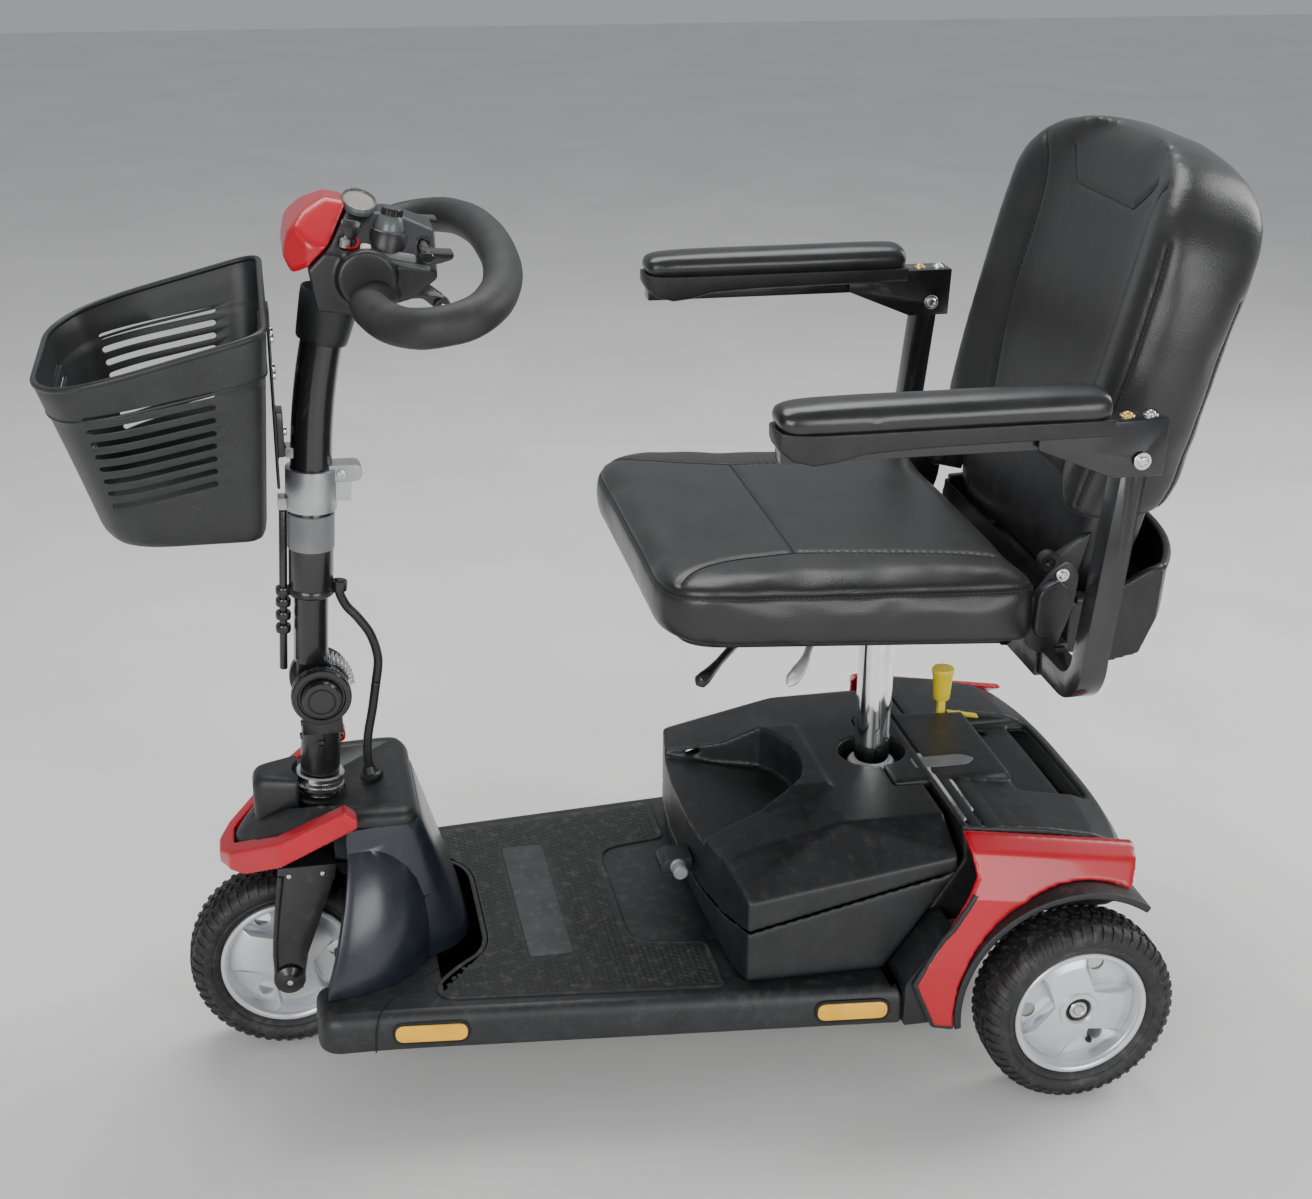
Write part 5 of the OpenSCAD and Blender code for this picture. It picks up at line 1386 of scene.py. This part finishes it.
# ------------------------------------------------------------------ seat levers
def grip_radius(stem, neck, palm):
    """Radius along a lever's grip: slim at the stem, full at the palm, drawn in at its end."""
    def at_share(t):
        if t < 0.5:
            return stem + (neck - stem) * t * 2
        if t < 0.88:
            return neck + (palm - neck) * min(1, (t - 0.5) * 4)
        return palm * (1 - 6.48 * (t - 0.88))
    return at_share


for name, points, body, node, look, shape in (
        ("swivel_handle_grip", [(-170, -110, -10), (-200, -155, -8.5), (-232, -205, -8),
                                (-246, -218, -12)], "swivel_handle", "swivel_lever", lever_black,
         (4, 4, 6.6)),
        ("slide_handle_grip", [(-100, -110, -12), (-120, -155, -10.5), (-140, -200, -9),
                               (-162, -229, -15)], "slide_handle", "slide_lever", lever_steel,
         (3.6, 3.8, 6.6))):
    path = curve_through([at(post_x + x, y, seat_z + z) for x, y, z in points], 8)
    put(tube(name, path, grip_radius(*shape), 18), look, body, node)

# ------------------------------------------------------------------ head
def crown(y):
    """How far the console's top falls away to the side."""
    return max(0, abs(y) - 20) * 0.9


def panel(x, y, lift=0.0):
    """A place on the console's sloping panel, or above it."""
    return at(x, y, head_z + 92 - (x - 100) * 0.2 - crown(y) + lift)


moulded("console_shell", console_black, 1.5, 14)
moulded("console_cover", red_gloss, 1.5, 60)
foam_path = [Vector((172 + 64 * math.copysign(abs(math.cos(a)) ** 0.87, math.cos(a)),
                     218 * math.copysign(abs(math.sin(a)) ** 0.87, math.sin(a)),
                     30 + 0.25 * 64 * math.cos(a))) for a in (math.radians(t) for t in range(-160, 161, 4))]
foam_path = [at(p.x, p.y, head_z + p.z) for p in foam_path]
put(tube("foam_bar", [at(126, -58, 823)] + foam_path[:] + [at(126, 58, 823)],
         lambda t: 17.8 - 0.35 * math.sin(t * 37) ** 2, 28), bar_foam, "tiller", "handlebar", sharp=60)
tilt_panel = math.atan(0.2)
panel_up = Vector((math.sin(tilt_panel), 0, math.cos(tilt_panel)))
for name, outline, look in (("gauge_ring",
                             [(15, -2), (17.4, -2), (18, 0.6), (17, 2.6), (15.8, 2.8), (15, 1.6)],
                             knob_grey), ("gauge_glass", [(0, -2), (15.2, -2), (15.2, 1.3), (0, 2.0)],
                                          dial_face)):
    thing = turned(name, outline, Vector((0, 0, 0)), (0, 0, 1), 48)
    moved(thing, Matrix.Translation(panel(111, -5, 2.6)) @ Matrix.Rotation(tilt_panel, 4,
        "Y") @ Matrix.Rotation(0.2, 4, "X") @ Matrix.Diagonal((0.95, 1.5, 1.4, 1)))
    put(thing, look, "tiller")
knob_foot = at(138, -36, head_z + 92 - 38 * 0.2) + panel_up * 0.0004
put(turned("knob_body", [(0, -27), (12.9, -27), (13.6, -12), (13.6, -9.6), (10.6, 0.6), (9.6, 2), (0, 2)],
           knob_foot, panel_up, 48), knob_grey, "speed_dial", "speed_knob")
put(turned("knob_cap", [(0, 1.5), (9.4, 1.5), (9.4, 6.6), (8.4, 8), (0, 8.2)], knob_foot, panel_up, 40),
    lever_black, "speed_dial")
flute = turned("flute", [(0, -3.2), (0.7, -3.2), (0.7, 3), (0, 3)], Vector((0.0094, 0, 0)), (0, 0, 1), 6)
grown("knob_flutes", RING, "speed_dial", lever_black, Shape=flute, Count=26, Step=math.tau / 26,
      Centre=tuple(knob_foot + panel_up * 0.0046), Turn=(0, tilt_panel, 0))
bpy.data.objects.remove(flute)
put(turned("knob_skirt", [(14, -32), (19, -32), (18, -18), (16, -12.6), (14.6, -11.8), (14, -12.4)],
           knob_foot, panel_up, 44), console_black, "tiller")
key_foot = at(100, -50, head_z + 92)
put(turned("key_barrel", [(0, -31), (4.9, -31), (4.9, -24.4), (3.6, -23), (1.6, -22.6), (1.6, -14),
                          (0, -13.6)], key_foot, panel_up, 28), latch_grey, "key_switch", "key")
bow = slab("key_bow", filleted([(96.6, 869), (103.4, 867.6), (109.5, 877), (110, 884), (92.6, 887.4),
                                (91, 880.5)], 3, 4), -51.8, -48.2, 0.9, 2)
put(bow, lever_black, "key_switch")
put(turned("key_ring", [(5.8, -1), (7.4, -1), (7.8, 0), (7.2, 1.2), (5.8, 0.8)], panel(100, -50, 1.0),
           Vector((0.15, -0.66, 0.74)), 36), red_gloss, "tiller")
button_foot = at(118, -56, head_z + 92 - 18 * 0.2)
put(turned("horn_cap", [(0, -36), (4.8, -36), (4.8, -25.4), (4.0, -24.2), (0, -23.8)], button_foot,
           panel_up, 28), button_yellow, "horn", "horn_button")
put(turned("light_button", [(0, -3), (4.6, -3), (4.6, 1.2), (3.8, 2), (0, 2.2)], panel(108.5, -58, 0),
           Vector((0.15, -0.66, 0.74)), 28), button_yellow, "tiller")
strip = loft("switch_pad", [[panel(x, y, z)
                             for x, y in filleted([(126, -57.5), (158, -57.5), (158, -51.5),
                                                   (126, -51.5)], 2.6, 4)] for z in (-1, 0.9)])
put(softened(strip, 0.5, 2), panel_grey, "tiller")
grip_strip = loft("side_strip",
                  [[panel(x, y, z) for x, y in filleted([(126, -61.4), (170, -61.4), (170, -59),
                                                         (126, -59)], 1, 2)] for z in (-1.5, 0.6)])
put(grip_strip, knob_grey, "tiller")
dial_far = panel(138, 36, 0)
put(turned("far_dial", [(0, -8), (14, -8), (15, -6.6), (15, 3), (13.8, 5), (12.4, 5.4), (11.4, 4),
                        (10.6, 4), (10.2, 9), (9, 10.4), (0, 10.6)], dial_far, panel_up, 48), lever_black,
    "tiller")
put(turned("far_dial_ring", [(12.2, 3), (14.4, 3), (14.8, 4.6), (14, 5.8), (12.6, 5.8), (12.2, 4.6)],
           dial_far, panel_up, 48), bare_steel, "tiller")
rod = [turned("t", [(0, -91), (4.2, -91), (4.9, -90), (4.9, 90), (4.2, 91), (0, 91)],
              at(166, 0, head_z + 58), (0, 1, 0), 28)]
for way in (-1, 1):
    paddle = slab("paddle", filleted([(160, head_z + 52), (175, head_z + 50), (189.5, head_z + 54),
                                      (189.5, head_z + 61), (175, head_z + 62), (160, head_z + 64)],
                                     [4, 3, 4, 4, 3, 4], 4),
                  *sorted((way * 67, way * 82)), 2.0, 3)
    rod.append(paddle)
put(joined("throttle_bar", *rod), lever_black, "throttle", "throttle_lever")
under = [slab("under_arm", filleted([(140, head_z + 10), (168, head_z + 18), (186, head_z + 4),
                                     (190, head_z - 8), (182, head_z - 12), (166, head_z + 2),
                                     (142, head_z + 2)], 3, 3), -12, -4, 1.5, 2),
         turned("under_bolt", [(0, -8), (8, -8), (8.4, -6), (8.4, 6), (8, 8), (0, 8)],
                at(184, -9, head_z - 6), (0, 1, 0), 28)]
put(joined("tilt_lever", *under), lever_black, "tiller")
bolts("tilt_lever_bolt", "tiller", [((184, -17.4, head_z - 6), (0, -1, 0))], bare_steel, size=0.8)
put(slab("tilt_bracket", filleted([(134, head_z + 12), (158, head_z + 16), (160, head_z + 4),
                                   (140, head_z - 4)], 2, 3), -5, 5, 1.0, 2), bare_steel, "tiller")

# ------------------------------------------------------------------ basket
floor_z, rim_front, rim_rise = 608, 149, 54
basket_rim = filleted(both_halves([(-187, 98), (-150, 158), (19, 158)]), [34, 62, 30, 30, 62, 34], 9)
basket_base = filleted(both_halves([(-139, 74), (-112, 122), (8, 122)]), [26, 40, 22, 22, 40, 26], 9)


def basket_ring(share, by):
    """Outline at a share of the wall's height, moved in by the wall."""
    mixed = [(a[0] + (b[0] - a[0]) * share, a[1] + (b[1] - a[1]) * share)
             for a, b in zip(basket_base, basket_rim)]
    made = []
    for x, y in inset(mixed, by):
        top = floor_z + rim_front + rim_rise * (x + 188) / 208
        made.append(at(x, y, floor_z + share * (top - floor_z)))
    return made


shares = [(0, 7), (0.012, 3), (0.04, 0.8), (0.08, 0)] + [(s / 20, 0) for s in range(2, 16)] + [(0.79, 0),
    (0.8, -0.9), (0.82, -1.0), (0.9, -0.8), (1.0, -0.6)]
outer = [basket_ring(s, by) for s, by in shares]
innerside = [basket_ring(max(s, 0.022), by + 3) for s, by in reversed(shares)]
basket = loft("basket_shell", outer + innerside)
cutters = []


def pill(a, b, radius, steps=6):
    """A slot's outline round the line from a to b."""
    way = (Vector(b) - Vector(a)).normalized()
    turn = math.atan2(way.y, way.x)
    ends = [(a, turn + math.pi / 2), (b, turn - math.pi / 2)]
    return [(p[0] + radius * math.cos(t + k * math.pi / steps),
             p[1] + radius * math.sin(t + k * math.pi / steps)) for p, t in ends for k in range(steps + 1)]


for way in (-1, 1):
    for i in range(8):
        z = floor_z + 44 + i * 12.4
        outline = pill((-122 - 2.4 * i, z), (-34 + 0.5 * i, z + 20), 3.1)
        cutters.append(loft("slot", [[at(x, y, z) for x, z in outline] for y in (way * 100, way * 175)]))
    for i in range(7):
        z = floor_z + 62 + i * 15
        outline = pill((way * 32, z), (way * 102, z + 7), 3.1)
        cutters.append(loft("slot", [[at(x, y, z) for y, z in outline] for x in (-8, 40)]))
    for i in range(8):
        z = floor_z + 44 + i * 11.4
        outline = pill((way * 20, z), (way * (62 + i), z), 2.7)
        cutters.append(loft("slot", [[at(x, y, z) for y, z in outline] for x in (-215, -128)]))
for cutter in cutters:
    cleaned(cutter.data)
knife = joined("knife", *cutters)
carved(basket, knife)
put(softened(basket, 0.7, 2, 50), basket_plastic, "tiller", "basket", sharp=36)
rim_line = [p + Vector((0, 0, 0.0008)) for p in basket_ring(1.0, 1.0)]
put(tube("basket_lip", rim_line, 3.0, 12, True), basket_plastic, "tiller")
band_line = basket_ring(0.8, -0.4)
put(tube("basket_band", band_line, 1.5, 8, True), basket_plastic, "tiller")
polished("basket_bracket", frame_paint, 1.2, 2)
bolts("bracket_bolts", "tiller",
      [((24.2, -12, 770), (1, 0, 0)), ((24.2, 12, 770), (1, 0, 0)), ((24.2, -12, 735), (1, 0, 0)),
       ((24.2, 12, 735), (1, 0, 0)), ((31, 0, 676), (1, 0, 0))], bare_steel, size=0.9)
hook = slab("bracket_hook", filleted([(30, 662), (44, 660), (52, 652), (52, 640), (46, 640), (44, 650),
                                      (30, 652)], 2, 3), -10, 10, 1.0, 2)
put(hook, clamp_grey, "tiller")

for template in templates:
    bpy.data.objects.remove(template)
